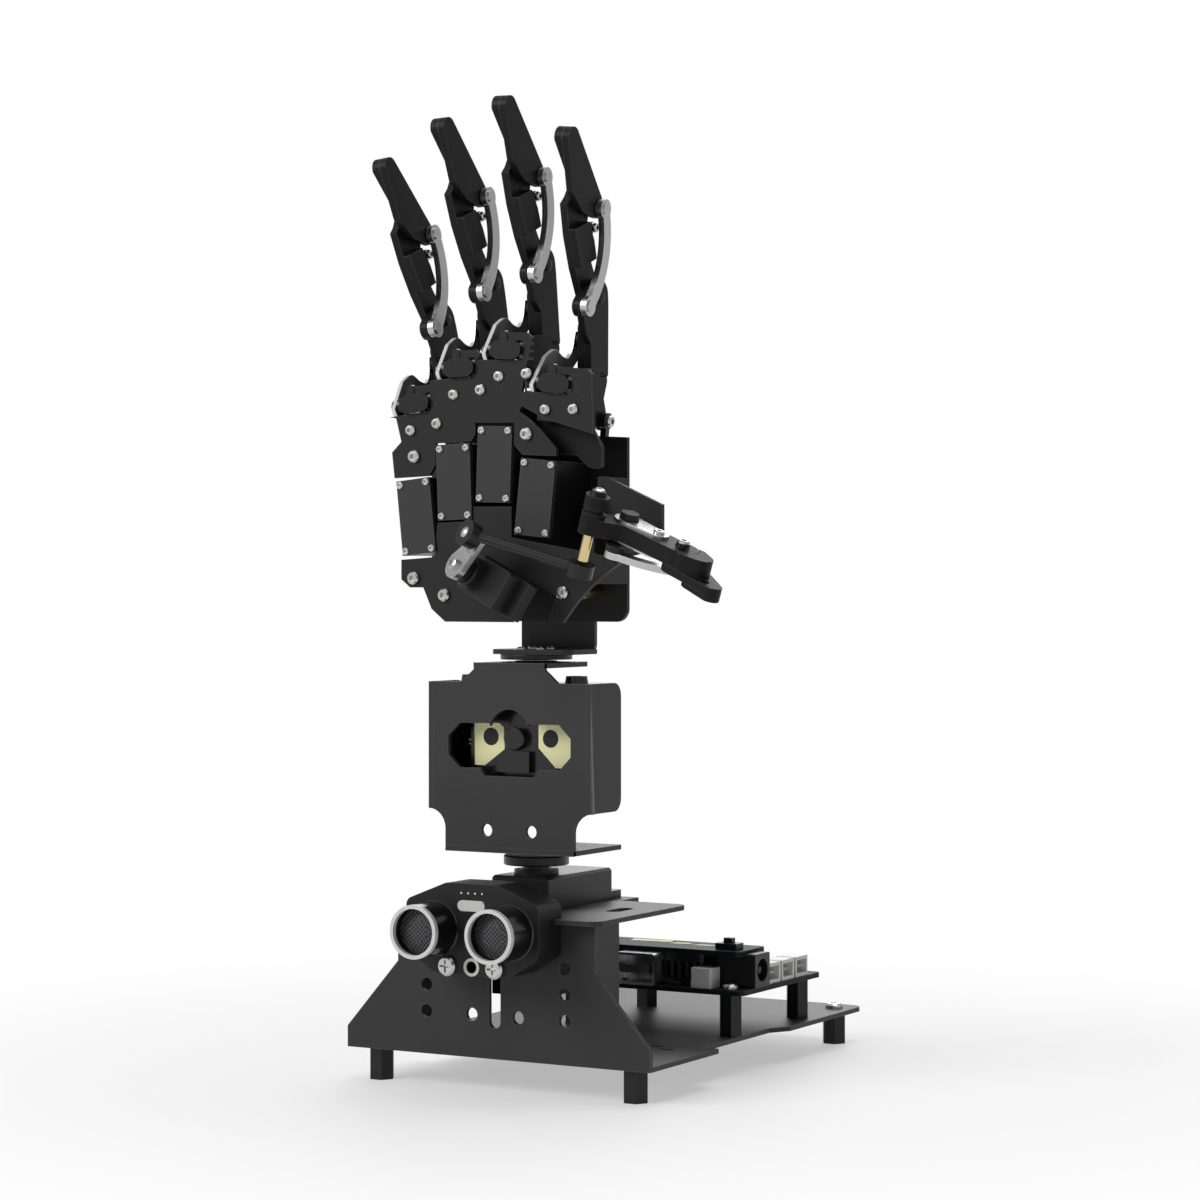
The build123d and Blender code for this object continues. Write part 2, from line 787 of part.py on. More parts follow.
# Thumb frames: one plane for its plates and one for its servo
pivot = Vector(*thumb_pivot)
up = Vector(*thumb_up).normalized()
along_raw = Vector(*thumb_along)
along = (along_raw - up * along_raw.dot(up)).normalized()
thumb_plane = Plane(origin=pivot, x_dir=along, z_dir=up)
hub_axis = Vector(*thumb_axis).normalized()
long_raw = Vector(*thumb_servo_long)
long_dir = (long_raw - hub_axis * long_raw.dot(hub_axis)).normalized()
hub_plane = Plane(origin=Vector(*thumb_hub), x_dir=long_dir, z_dir=hub_axis)
thumb_body_top = -7.0
thumb_body_deep = 21.0
thumb_body_shift = 5.6


def thumb_body(clearance=0.0):
    """Case and ears of the thumb's servo, or the space they need."""
    with BuildPart() as case:
        with BuildSketch(hub_plane.offset(thumb_body_top + clearance)):
            with Locations((thumb_body_shift, 0)):
                Rectangle(small_long + 2 * clearance, small_wide + 2 * clearance)
        extrude(amount=-thumb_body_deep - 2 * clearance)
        with BuildSketch(hub_plane.offset(thumb_body_top - 5 + clearance)):
            with Locations((thumb_body_shift, 0)):
                Rectangle(small_long + 9 + 2 * clearance, small_wide + 2 * clearance)
        extrude(amount=-1.8 - 2 * clearance)
    return case.part


with BuildPart() as thumb_servo:
    add(thumb_body())
    with BuildSketch(hub_plane.offset(thumb_body_top)):
        Circle(5.0)
    extrude(amount=3.2)
    with BuildSketch(hub_plane.offset(thumb_body_top + 3.2)):
        Circle(small_boss_r)
    extrude(amount=2.2)
    with BuildSketch(hub_plane.offset(thumb_body_top - 5)):
        with Locations(*[(thumb_body_shift + side * (small_long / 2 + 2.3), 0) for side in (-1, 1)]):
            Circle(1.0)
    extrude(amount=-1.8, mode=Mode.SUBTRACT)
save(thumb_servo.part, "thumb_servo")

with BuildPart() as palm_lower_plate:
    with BuildSketch(Plane.XZ.offset(-palm_front)):
        with BuildLine():
            Polyline(
                (40.2, 159.1),
                (0.9, 166.0),
                (0.9, 175.3),
                (-12.4, 175.4),
                (-12.8, 171.0),
                (-25.4, 170.6),
                (-26.4, 160.2),
                (-38.6, 159.4),
                (-38.6, 153.4),
                (-35.4, 150.9),
                (-30.6, 150.9),
                (-27.6, 144.4),
                (-22.7, palm_bottom),
                (19.0, palm_bottom),
            )
            ThreePointArc((19.0, palm_bottom), (28.2, 150.8), (40.2, 159.1))
        make_face()
    extrude(amount=-sheet)
    add(thumb_body(0.6), mode=Mode.SUBTRACT)
    for name in names:
        with BuildSketch(face_plane(fingers[name], palm_front)):
            Rectangle(small_wide + 2 * slip, small_long + 2 * slip)
        extrude(amount=-sheet, mode=Mode.SUBTRACT)
save(palm_lower_plate.part, "palm_lower_plate")

# The back plate steps up and down with the fingers, below their levers
back_edge_z = 20.0
back_top = []
for name in names:
    back_top += [palm_point(fingers[name], x, back_edge_z) for x in (-6.4, 6.8)]
back_right = 28.7
boss_hole = 5.2
with BuildPart() as palm_back_plate:
    with BuildSketch(Plane.XZ.offset(-palm_back)):
        with BuildLine():
            Polyline(
                (back_right, palm_bottom),
                (back_right, back_top[-1][1] - 0.6),
                *reversed(back_top),
                (-41.5, 190.5),
                (-41.5, 160.0),
                (-38.5, 152.0),
                (-30.0, 150.0),
                (-24.0, palm_bottom),
                close=True,
            )
        face = make_face()
        fillet(face.vertices().sort_by(Axis.Z)[:2], 4.0)
        for name in names:
            with Locations(palm_point(fingers[name], 0, small_shaft_z)):
                Circle(boss_hole, mode=Mode.SUBTRACT)
        with Locations(*palm_screw_points):
            Circle(screw_hole, mode=Mode.SUBTRACT)
    extrude(amount=sheet)
save(palm_back_plate.part, "palm_back_plate")

spacer_length = palm_back - sheet - palm_front - sheet
with BuildPart() as palm_spacers:
    with BuildSketch(Plane.XZ.offset(-palm_front - sheet)):
        with Locations(*palm_screw_points):
            Circle(2.1)
    extrude(amount=-spacer_length)
save(palm_spacers.part, "palm_spacers")

# Small servos of the fingers with their screwed covers
cover_thick = 1.6
servo_neck = 0.4
cover_face = palm_front - 0.6
foot_deep = 3.2
case_front = cover_face + cover_thick
case_back = palm_back - sheet - slip
servo_solids = []
cover_solids = []
block_solids = []
head_solids = []
for name in names:
    finger = fingers[name]
    with BuildPart() as case:
        with BuildSketch(face_plane(finger, case_back)):
            RectangleRounded(small_wide, small_long, 0.6)
        extrude(amount=case_back - case_front)
        with BuildSketch(face_plane(finger, palm_back + servo_neck)):
            with Locations((0, small_shaft_z)):
                Circle(small_boss_r)
        extrude(amount=palm_back + servo_neck - case_back + 0.2)
    servo_solids.append(case.part)
    with BuildPart() as cover:
        with BuildSketch(face_plane(finger, case_front)):
            Rectangle(small_wide, small_long)
        extrude(amount=cover_thick)
    cover_solids.append(cover.part)
    with BuildPart() as block:
        with BuildSketch(side_plane(finger, knuckle_y, knuckle_z)):
            Circle(barrel_r)
        extrude(amount=barrel_half, both=True)
        with BuildSketch(face_plane(finger, palm_front + sheet + foot_deep)):
            with Locations((3.6, 24.8)):
                Rectangle(13.2, 4.6)
            with Locations((0, 30.0)):
                Rectangle(2 * (cheek_in - slip), 6.0)
            with Locations((8.2, 28.6)):
                Rectangle(3.4, 4.0)
        extrude(amount=foot_deep)
    block_solids.append(block.part)
save(sum(servo_solids[1:], servo_solids[0]), "finger_servos")
save(sum(cover_solids[1:], cover_solids[0]), "servo_covers")
save(sum(block_solids[1:], block_solids[0]), "knuckle_blocks")

cover_screw_places = [(x, z) for x in (-4.7, 4.7) for z in (-10.2, 10.2)]
hand_screws = plain_heads(Plane.XZ.offset(-palm_front), palm_screw_points)
for name in names:
    finger = fingers[name]
    hand_screws += plain_heads(face_plane(finger, cover_face), cover_screw_places, 1.2, 0.7)
    hand_screws += plain_heads(face_plane(finger, palm_front), knuckle_screws, 1.7, 1.1)
corner = wrist_screw_circle * sin(radians(45))
wrist_screw_places = [(0, turn_y)] + [(x, turn_y + y) for x in (-corner, corner) for y in (-corner, corner)]
hand_screws += plain_heads(Plane.XY.offset(wrist_horn_top + sheet), wrist_screw_places, 1.5, 1.2)
save(hand_screws, "hand_screws")

# Swing of the servo arm that lifts a lever through the knuckle's swing
half_swing = knuckle_swing / 2
rod_x = cheek_in + cheek_thick + slip + rod_thick / 2
arm_rise = lever_reach * sin(radians(half_swing))
arm_half_swing = degrees(atan2(arm_rise, rod_x))
arm_reach = hypot(arm_rise, rod_x)
lever_pin = (knuckle_y + lever_reach * cos(radians(half_swing)), knuckle_z - arm_rise)
arm_pin = (rod_x, small_shaft_z - arm_rise)
arm_back = palm_back + servo_neck
rod_y = lever_pin[0]
stem_depth = 10.6
stem_end = -25.0
anchor = (17.5, 16.0)
lap = limb_thick / 2


def turned(point, lean):
    """A point given as dorsal and up in the palm's frame, seen from a limb that leans forward."""
    turn = radians(lean)
    y, z = point
    return (y * cos(turn) + z * sin(turn), -y * sin(turn) + z * cos(turn))


def dip_point():
    """Place of the end joint in the finger's side view."""
    turn = radians(middle_lean)
    return (pip_y - middle_length * sin(turn), pip_z + middle_length * cos(turn))


def make_proximal(finger):
    """Sheet metal yoke with its lever, and the black phalanx bolted in it."""
    knuckle = side_plane(finger, knuckle_y, knuckle_z)
    lever = (lever_pin[0] - knuckle_y, lever_pin[1] - knuckle_z)
    front_top = (0.6, 9.6)
    with BuildPart() as yoke:
        with BuildSketch(knuckle.offset(cheek_in)):
            with Locations((0, 0)):
                Circle(ring_r)
            with Locations(anchor):
                Circle(4.0)
            with Locations(lever):
                Circle(3.0)
            with Locations(front_top):
                Circle(2.2)
            make_hull()
            Circle(barrel_r + running, mode=Mode.SUBTRACT)
            with Locations(lever):
                Circle(pin_r, mode=Mode.SUBTRACT)
            with Locations((10.5, 3.5)):
                Circle(3.2, mode=Mode.SUBTRACT)
        extrude(amount=cheek_thick)
        with BuildSketch(knuckle.offset(-cheek_in)):
            with Locations((0, 0)):
                Circle(ring_r)
            with Locations(anchor):
                Circle(4.0)
            with Locations((15.5, 2.0)):
                Circle(4.0)
            with Locations(front_top):
                Circle(2.2)
            make_hull()
            Circle(barrel_r + running, mode=Mode.SUBTRACT)
            with Locations((10.5, 5.0)):
                Circle(3.2, mode=Mode.SUBTRACT)
        extrude(amount=-cheek_thick)
        web_y = knuckle_y - 1.6
        web_low = knuckle_z + barrel_r + slip
        web_half = cheek_in + cheek_thick
        crest = knuckle_z + 11.8
        with BuildSketch(face_plane(finger, web_y)):
            with BuildLine():
                Line((-web_half, web_low), (web_half, web_low))
                Line((web_half, web_low), (web_half, crest - 1.0))
                Spline(
                    (web_half, crest - 1.0),
                    (web_half - 2.4, crest - 3.6),
                    (0.2, crest - 0.4),
                    (-web_half + 3.0, crest - 1.0),
                    (-web_half, crest - 5.0),
                )
                Line((-web_half, crest - 5.0), (-web_half, web_low))
            make_face()
        extrude(amount=-cheek_thick)
    limb = side_plane(finger, pip_y, pip_z, proximal_lean)
    nose = turned(link_low, proximal_lean)
    with BuildPart() as phalanx:
        with BuildSketch(limb.offset(-limb_thick / 2)):
            with Locations((0.2, (stem_end - 7.5) / 2)):
                RectangleRounded(stem_depth, -stem_end - 7.5, 2.0)
        extrude(amount=lap + lap_gap / 2)
        with BuildSketch(limb.offset(lap_gap / 2)):
            with Locations(nose):
                Circle(link_r + 0.3)
            with Locations((0, -1.5)):
                Circle(limb_r - 1.2)
            make_hull()
            with Locations((0.2, stem_end / 2)):
                RectangleRounded(stem_depth, -stem_end, 2.0)
            Circle(limb_r + 0.4)
            Circle(pin_r + running, mode=Mode.SUBTRACT)
            with Locations(nose):
                Circle(pin_r + running, mode=Mode.SUBTRACT)
        extrude(amount=lap - lap_gap / 2)
        anchor_at = (knuckle_y + anchor[0] - pip_y, knuckle_z + anchor[1] - pip_z)
        with BuildSketch(limb.offset(-cheek_in)):
            with Locations(turned(anchor_at, proximal_lean)):
                Circle(4.0)
        extrude(amount=2 * cheek_in)
    return yoke.part, phalanx.part


def make_middle(finger):
    """Middle phalanx: lapped left of the joints, full thickness between them, with its pins."""
    limb = side_plane(finger, pip_y, pip_z, middle_lean)
    top = middle_length
    with BuildPart() as middle:
        with BuildSketch(limb.offset(-limb_thick / 2)):
            with BuildLine():
                Polyline(
                    (-4.7, 1.0),
                    (-7.6, 11.5),
                    (-8.6, 22.0),
                    (-8.2, top + 0.2),
                    (-5.6, top + 1.4),
                    (0, top + 1),
                )
                Spline((0, top + 1), (4.2, top - 4), (0.6, top - 12), (1.4, 12), (4.6, 1.0))
                Line((4.6, 1.0), (-4.7, 1.0))
            make_face()
            Circle(limb_r)
            with Locations((0, top)):
                Circle(limb_r - 0.2)
        extrude(amount=lap - lap_gap / 2)
        with BuildSketch(limb.offset(-lap_gap / 2)):
            with BuildLine():
                Polyline((-8.0, 14.0), (-8.6, 22.5), (-1.2, 22.5), (0.6, top - 12), (0.8, 14.0), close=True)
            make_face()
        extrude(amount=lap + lap_gap / 2)
        with BuildSketch(limb.offset(-lap_gap / 2)):
            Circle(pin_r)
            with Locations((0, top)):
                Circle(pin_r)
        extrude(amount=lap + lap_gap / 2)
    return middle.part


def make_distal(finger):
    """End phalanx: a tapered blade, lapped right of its joint, with an ear for the link."""
    y, z = dip_point()
    limb = side_plane(finger, y, z, distal_lean)
    ear = turned(link_high, distal_lean)
    with BuildPart() as distal:
        with BuildSketch(limb.offset(lap_gap / 2)):
            with Locations((0, distal_length)):
                Circle(tip_r)
            Circle(limb_r)
            with Locations(ear):
                Circle(link_r)
            with Locations((-4.4, 5.4)):
                Circle(2.4)
            make_hull()
            Circle(pin_r + running, mode=Mode.SUBTRACT)
            with Locations(ear):
                Circle(pin_r + 0.5, mode=Mode.SUBTRACT)
        extrude(amount=lap - lap_gap / 2)
        with BuildSketch(limb.offset(lap_gap / 2)):
            with BuildLine():
                Polyline((-7.0, 9.6), (-tip_r, distal_length), (tip_r, distal_length), (5.4, 9.6), close=True)
            make_face()
            with Locations((0, distal_length)):
                Circle(tip_r)
        extrude(amount=-lap - lap_gap / 2)
    return distal.part


def make_link(finger):
    """Curved silver link that crosses the middle phalanx, with a pin at each end."""
    limb = side_plane(finger, pip_y, pip_z, 0.0, lap + link_gap)
    y, z = dip_point()
    low = Vector(*link_low)
    high = Vector(y - pip_y + link_high[0], z - pip_z + link_high[1])
    bow = (low + high) * 0.5 + Vector(4.6, 1.2)
    with BuildPart() as link:
        with BuildSketch(limb):
            with BuildLine():
                ThreePointArc(low, bow, high)
            trace(line_width=4.0)
            with Locations((low.X, low.Y), (high.X, high.Y)):
                Circle(link_r)
        extrude(amount=link_thick)
        with BuildSketch(limb.offset(link_thick)):
            with Locations((low.X, low.Y), (high.X, high.Y)):
                Circle(1.9)
        extrude(amount=0.5)
        with BuildSketch(limb):
            with Locations((low.X, low.Y)):
                Circle(pin_r)
        extrude(amount=-link_gap - lap + lap_gap)
        with BuildSketch(limb):
            with Locations((high.X, high.Y)):
                Circle(pin_r + 0.9)
        extrude(amount=-link_gap + 0.1)
    return link.part


def make_arm(finger):
    """Silver arm on the small servo's shaft, with the ball pin that carries the rod."""
    with BuildPart() as arm:
        with BuildSketch(face_plane(finger, arm_back)):
            with Locations((0, small_shaft_z)):
                Circle(arm_hub_r)
            with Locations(arm_pin):
                Circle(arm_tip_r)
            make_hull()
        extrude(amount=-arm_thick)
        with BuildSketch(face_plane(finger, arm_back + arm_thick)):
            with Locations((0, small_shaft_z)):
                Circle(arm_cap_r)
        extrude(amount=-arm_cap_h)
        with BuildSketch(face_plane(finger, arm_back + arm_thick)):
            with Locations(arm_pin):
                Circle(pin_r - 0.2)
        extrude(amount=-2 * (rod_y - arm_back - arm_thick))
        with BuildSketch(face_plane(finger, rod_y + rod_thick / 2 + 0.2)):
            with Locations(arm_pin):
                Circle(1.9)
        extrude(amount=-1.2)
    return arm.part


def make_rod(finger):
    """Black push rod: an eye on the arm's pin, and a screwed eye beside the yoke's lever."""
    low = (arm_pin[0], arm_pin[1])
    with BuildPart() as rod:
        with BuildSketch(face_plane(finger, rod_y + rod_thick / 2)):
            with Locations(low):
                Circle(2.4)
            with Locations((rod_x, (arm_pin[1] + lever_pin[1]) / 2)):
                Rectangle(rod_thick, lever_pin[1] - arm_pin[1] - 3)
            with Locations(low):
                Circle(pin_r - 0.2 + running, mode=Mode.SUBTRACT)
        extrude(amount=rod_thick)
        with BuildSketch(side_plane(finger, lever_pin[0], lever_pin[1], 0.0, rod_x - rod_thick / 2)):
            Circle(2.6)
        extrude(amount=rod_thick)
        with BuildSketch(side_plane(finger, lever_pin[0], lever_pin[1], 0.0, rod_x + rod_thick / 2)):
            Circle(1.9)
        extrude(amount=1.2, taper=12)
    return rod.part


for name in names:
    finger = fingers[name]
    yoke_solid, phalanx_solid = make_proximal(finger)
    pair = Compound(label=f"{name}_proximal", children=[yoke_solid, phalanx_solid])
    save(pair, f"{name}_proximal")
    save(make_middle(finger), f"{name}_middle")
    save(make_distal(finger), f"{name}_distal")
    save(make_link(finger), f"{name}_link")
    save(make_arm(finger), f"{name}_arm")
    save(make_rod(finger), f"{name}_rod")


# Thumb, laid out on its own plane: along the thumb, and away from the palm's front
thumb_layer = thumb_thick / 2
shelf_top = -thumb_layer - plate_thick - slip
shelf_low = shelf_top - sheet
bar_top = shelf_low - slip
bar_low = bar_top - link_thick
blade_low = bar_top + slip
base_top = thumb_layer + plate_thick
with BuildPart() as thumb_base:
    with BuildSketch(thumb_plane.offset(-thumb_layer)):
        Circle(thumb_end_r)
        with Locations(thumb_lever):
            Circle(cap_r)
        make_hull()
        with Locations((thumb_first / 2, 0)):
            Rectangle(thumb_first, 2 * thumb_end_r)
        with Locations(thumb_knuckle):
            Circle(thumb_end_r)
            Circle(pin_r + running, mode=Mode.SUBTRACT)
        Circle(pivot_r + running, mode=Mode.SUBTRACT)
    extrude(amount=thumb_thick)
    with BuildSketch(thumb_plane.offset(thumb_layer)):
        with Locations(thumb_lever):
            Circle(cap_r)
    extrude(amount=cap_height)
    with BuildSketch(thumb_plane.offset(thumb_layer + cap_groove)):
        with Locations(thumb_lever):
            Circle(cap_r + 1)
            Circle(cap_r - cap_groove_depth, mode=Mode.SUBTRACT)
    extrude(amount=cap_groove, mode=Mode.SUBTRACT)
    with BuildSketch(thumb_plane.offset(thumb_layer + cap_height)):
        with Locations(thumb_lever):
            Circle(cap_r - cap_groove_depth)
    extrude(amount=cap_groove, taper=25)
save(thumb_base.part, "thumb_base")

with BuildPart() as thumb_plates:
    with BuildSketch(thumb_plane.offset(-thumb_layer)):
        with Locations((plate_reach / 2, 0)):
            SlotOverall(plate_reach + 2 * plate_half, 2 * plate_half)
        Circle(pivot_r + running, mode=Mode.SUBTRACT)
    extrude(amount=-plate_thick)
    with BuildSketch(thumb_plane.offset(thumb_layer)):
        Circle(plate_half)
        with Locations((plate_reach, 0)):
            Circle(plate_half - 1.2)
        make_hull()
        Circle(pivot_r + running, mode=Mode.SUBTRACT)
    extrude(amount=plate_thick)
save(thumb_plates.part, "thumb_plates")

with BuildPart() as thumb_spacer:
    with BuildSketch(thumb_plane.offset(-thumb_layer)):
        with Locations(thumb_lever):
            Circle(spacer_r)
    extrude(amount=-spacer_long)
save(thumb_spacer.part, "thumb_spacer")

with BuildPart() as thumb_tip:
    with BuildSketch(thumb_plane.offset(-thumb_layer - lap_gap)):
        with Locations(thumb_knuckle):
            Circle(thumb_end_r - 0.4)
        with Locations(thumb_nail):
            Circle(thumb_nail_r)
        with Locations(thumb_ear):
            Circle(link_r)
        make_hull()
        with Locations(thumb_hole):
            Circle(1.3, mode=Mode.SUBTRACT)
    extrude(amount=blade_low + thumb_layer + lap_gap)
    with BuildSketch(thumb_plane.offset(blade_low)):
        with Locations(thumb_nail):
            Circle(thumb_nail_r)
        with Locations((thumb_first + 8.0, 0)):
            Circle(4.2)
        make_hull()
        with Locations(thumb_hole):
            Circle(1.3, mode=Mode.SUBTRACT)
    extrude(amount=-blade_step)
    with BuildSketch(thumb_plane.offset(-thumb_layer - lap_gap)):
        with Locations((thumb_first + 8.0, -0.6)):
            Circle(3.6)
        with Locations((thumb_first + 4.0, 2.0)):
            Circle(3.0)
        with Locations((thumb_first + 4.0, -2.4)):
            Circle(3.0)
        make_hull()
        with Locations(thumb_knuckle):
            Circle(thumb_end_r + slip, mode=Mode.SUBTRACT)
    extrude(amount=thumb_thick + lap_gap)
    with BuildSketch(thumb_plane.offset(-thumb_layer - lap_gap)):
        with Locations(thumb_knuckle):
            Circle(pin_r)
    extrude(amount=thumb_thick + lap_gap + slip)
    with BuildSketch(thumb_plane.offset(thumb_layer + slip)):
        with Locations(thumb_knuckle):
            Circle(2.2)
    extrude(amount=1.2, taper=12)
save(thumb_tip.part, "thumb_tip")

with BuildPart() as thumb_link:
    with BuildSketch(thumb_plane.offset(bar_top)):
        with BuildLine():
            ThreePointArc(thumb_fixed_pin, thumb_bow, thumb_ear)
        trace(line_width=3.6)
        with Locations(thumb_fixed_pin, thumb_ear):
            Circle(link_r)
        with Locations(thumb_fixed_pin):
            Circle(pin_r + running, mode=Mode.SUBTRACT)
    extrude(amount=-link_thick)
    with BuildSketch(thumb_plane.offset(bar_top)):
        with Locations(thumb_ear):
            Circle(2.0)
    extrude(amount=slip - 0.1)
save(thumb_link.part, "thumb_link")

with BuildPart() as thumb_bracket:
    with BuildSketch(thumb_plane.offset(shelf_low)):
        Circle(5.0)
        with Locations(thumb_fixed_pin):
            Circle(link_r)
        with Locations((-9.0, shelf_root), (3.0, shelf_root)):
            Circle(1.5)
        make_hull()
    extrude(amount=sheet)
    with BuildSketch(thumb_plane.offset(shelf_top)):
        Circle(pivot_r)
    extrude(amount=base_top + slip - shelf_top)
    with BuildSketch(thumb_plane.offset(base_top + slip)):
        Circle(3.0)
    extrude(amount=1.6, taper=12)
    with BuildSketch(thumb_plane.offset(shelf_low)):
        with Locations(thumb_fixed_pin):
            Circle(pin_r)
    extrude(amount=-slip - link_thick - slip)
    with BuildSketch(thumb_plane.offset(bar_low - slip)):
        with Locations(thumb_fixed_pin):
            Circle(2.0)
    extrude(amount=-1.0)
    with BuildSketch(Plane.XZ.offset(-gusset_y)):
        with BuildLine():
            Polyline(*gusset_points, close=True)
        make_face()
    extrude(amount=sheet)
    with BuildSketch(Plane.YZ.offset(back_right - sheet)):
        with BuildLine():
            Polyline(
                (palm_front + sheet, 152.0),
                (palm_back - sheet, 152.0),
                (palm_back - sheet, 184.0),
                (gusset_y, 184.0),
                (palm_front + sheet, 174.0),
                close=True,
            )
        make_face()
    extrude(amount=sheet)
save(thumb_bracket.part, "thumb_bracket")

# Thumb servo's arm ends in a ball stud, and its rod in a socket and an eye under the spacer
eye_low = arm_top + arm_step + slip
eye_mid = eye_low + rod_eye_thick / 2
arm_turn = radians(thumb_arm_turn)
ball_at = (thumb_arm_reach * cos(arm_turn), thumb_arm_reach * sin(arm_turn))
ball_centre = hub_plane.from_local_coords(Vector(ball_at[0], ball_at[1], eye_mid))
eye_top = -thumb_layer - spacer_long - spacer_gap
eye_centre = thumb_plane.from_local_coords(Vector(*thumb_lever, eye_top - rod_eye_thick / 2))
with BuildPart() as thumb_arm:
    with BuildSketch(hub_plane.offset(arm_top)):
        Circle(4.4)
        with Locations(ball_at):
            Circle(arm_end_r)
        make_hull()
    extrude(amount=-2.0)
    with BuildSketch(hub_plane.offset(arm_top)):
        with Locations(ball_at):
            Circle(rod_eye_r + 1.0)
    extrude(amount=-arm_relief, mode=Mode.SUBTRACT)
    with BuildSketch(hub_plane.offset(arm_top)):
        Circle(2.0)
    extrude(amount=arm_step)
    with BuildSketch(hub_plane.offset(arm_top - arm_relief)):
        with Locations(ball_at):
            Circle(1.0)
    extrude(amount=eye_mid - arm_top + arm_relief)
    with Locations(hub_plane.location * Location((ball_at[0], ball_at[1], eye_mid))):
        Sphere(ball_r)
save(thumb_arm.part, "thumb_arm")

rod_line = eye_centre - ball_centre
rod_plane = Plane(origin=ball_centre, x_dir=hub_axis, z_dir=rod_line.normalized())
with BuildPart() as thumb_rod:
    with BuildSketch(rod_plane.offset(rod_eye_r - 0.4)):
        Circle(rod_r)
    extrude(amount=rod_line.length - 2 * rod_eye_r + 0.8)
    with BuildSketch(hub_plane.offset(eye_low)):
        with Locations(ball_at):
            Circle(rod_eye_r)
    extrude(amount=rod_eye_thick)
    with BuildSketch(thumb_plane.offset(eye_top)):
        with Locations(thumb_lever):
            Circle(rod_eye_r)
    extrude(amount=-rod_eye_thick)
    with Locations(hub_plane.location * Location((ball_at[0], ball_at[1], eye_mid))):
        Sphere(ball_r + running, mode=Mode.SUBTRACT)
    with BuildSketch(hub_plane.offset(eye_low)):
        with Locations(ball_at):
            Circle(1.75)
    extrude(amount=rod_eye_thick / 2, mode=Mode.SUBTRACT)
save(thumb_rod.part, "thumb_rod")
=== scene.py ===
import math
import bmesh
import bpy
import numpy as np
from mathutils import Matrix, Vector, geometry


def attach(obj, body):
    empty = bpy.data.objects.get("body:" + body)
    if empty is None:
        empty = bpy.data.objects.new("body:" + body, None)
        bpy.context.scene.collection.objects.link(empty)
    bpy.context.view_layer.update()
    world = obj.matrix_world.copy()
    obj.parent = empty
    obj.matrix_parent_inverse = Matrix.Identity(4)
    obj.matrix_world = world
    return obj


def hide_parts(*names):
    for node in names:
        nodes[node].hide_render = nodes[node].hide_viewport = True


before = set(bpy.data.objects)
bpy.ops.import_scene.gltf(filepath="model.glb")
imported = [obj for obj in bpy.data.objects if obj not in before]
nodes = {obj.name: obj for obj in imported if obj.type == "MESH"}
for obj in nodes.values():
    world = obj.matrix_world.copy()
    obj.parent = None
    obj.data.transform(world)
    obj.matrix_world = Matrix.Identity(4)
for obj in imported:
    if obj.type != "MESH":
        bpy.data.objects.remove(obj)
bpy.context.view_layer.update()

fingers = ("pinky", "ring", "middle", "index")
mm = 0.001
turnY = -49.7        # the axis that the forearm and the hand turn on
print("stage: frame loaded,", len(nodes), "nodes")

# Shared shading effects, each built once as a node group


def newGroup(name, inputs, outputs):
    group = bpy.data.node_groups.new(name, "ShaderNodeTree")
    for label, kind, value in inputs:
        socket = group.interface.new_socket(name=label, in_out="INPUT", socket_type=kind)
        if value is not None:
            socket.default_value = value
    for label, kind in outputs:
        group.interface.new_socket(name=label, in_out="OUTPUT", socket_type=kind)
    enter = group.nodes.new("NodeGroupInput")
    leave = group.nodes.new("NodeGroupOutput")
    return group, enter, leave


def mathNode(tree, operation, a, b=None, clamp=False):
    node = tree.nodes.new("ShaderNodeMath")
    node.operation = operation
    node.use_clamp = clamp
    for socket, value in zip(node.inputs, (a, b)):
        if value is None:
            continue
        if isinstance(value, (int, float)):
            socket.default_value = value
        else:
            tree.links.new(value, socket)
    return node.outputs[0]


def edgeGlintAndWearGroup():
    # painted highlight and wear on edges: how far the rounded normal leaves the true one, broken up by fine
    # noise
    group, enter, leave = newGroup(
        "edgeGlintAndWear",
        [("Radius", "NodeSocketFloat", 0.0004), ("Strength", "NodeSocketFloat", 3.0)],
        [("Mask", "NodeSocketFloat")],
    )
    bevel = group.nodes.new("ShaderNodeBevel")
    bevel.samples = 6
    group.links.new(enter.outputs["Radius"], bevel.inputs["Radius"])
    surface = group.nodes.new("ShaderNodeNewGeometry")
    dot = group.nodes.new("ShaderNodeVectorMath")
    dot.operation = "DOT_PRODUCT"
    group.links.new(bevel.outputs[0], dot.inputs[0])
    group.links.new(surface.outputs["True Normal"], dot.inputs[1])
    away = mathNode(group, "SUBTRACT", 1.0, dot.outputs["Value"], clamp=True)
    strong = mathNode(group, "MULTIPLY", away, enter.outputs["Strength"], clamp=True)
    coords = group.nodes.new("ShaderNodeTexCoord")
    noise = group.nodes.new("ShaderNodeTexNoise")
    noise.inputs["Scale"].default_value = 420.0
    noise.inputs["Detail"].default_value = 3.0
    group.links.new(coords.outputs["Object"], noise.inputs["Vector"])
    rough = mathNode(group, "MULTIPLY", noise.outputs["Fac"], 0.7)
    broken = mathNode(group, "ADD", rough, 0.62)
    group.links.new(mathNode(group, "MULTIPLY", strong, broken, clamp=True), leave.inputs["Mask"])
    return group


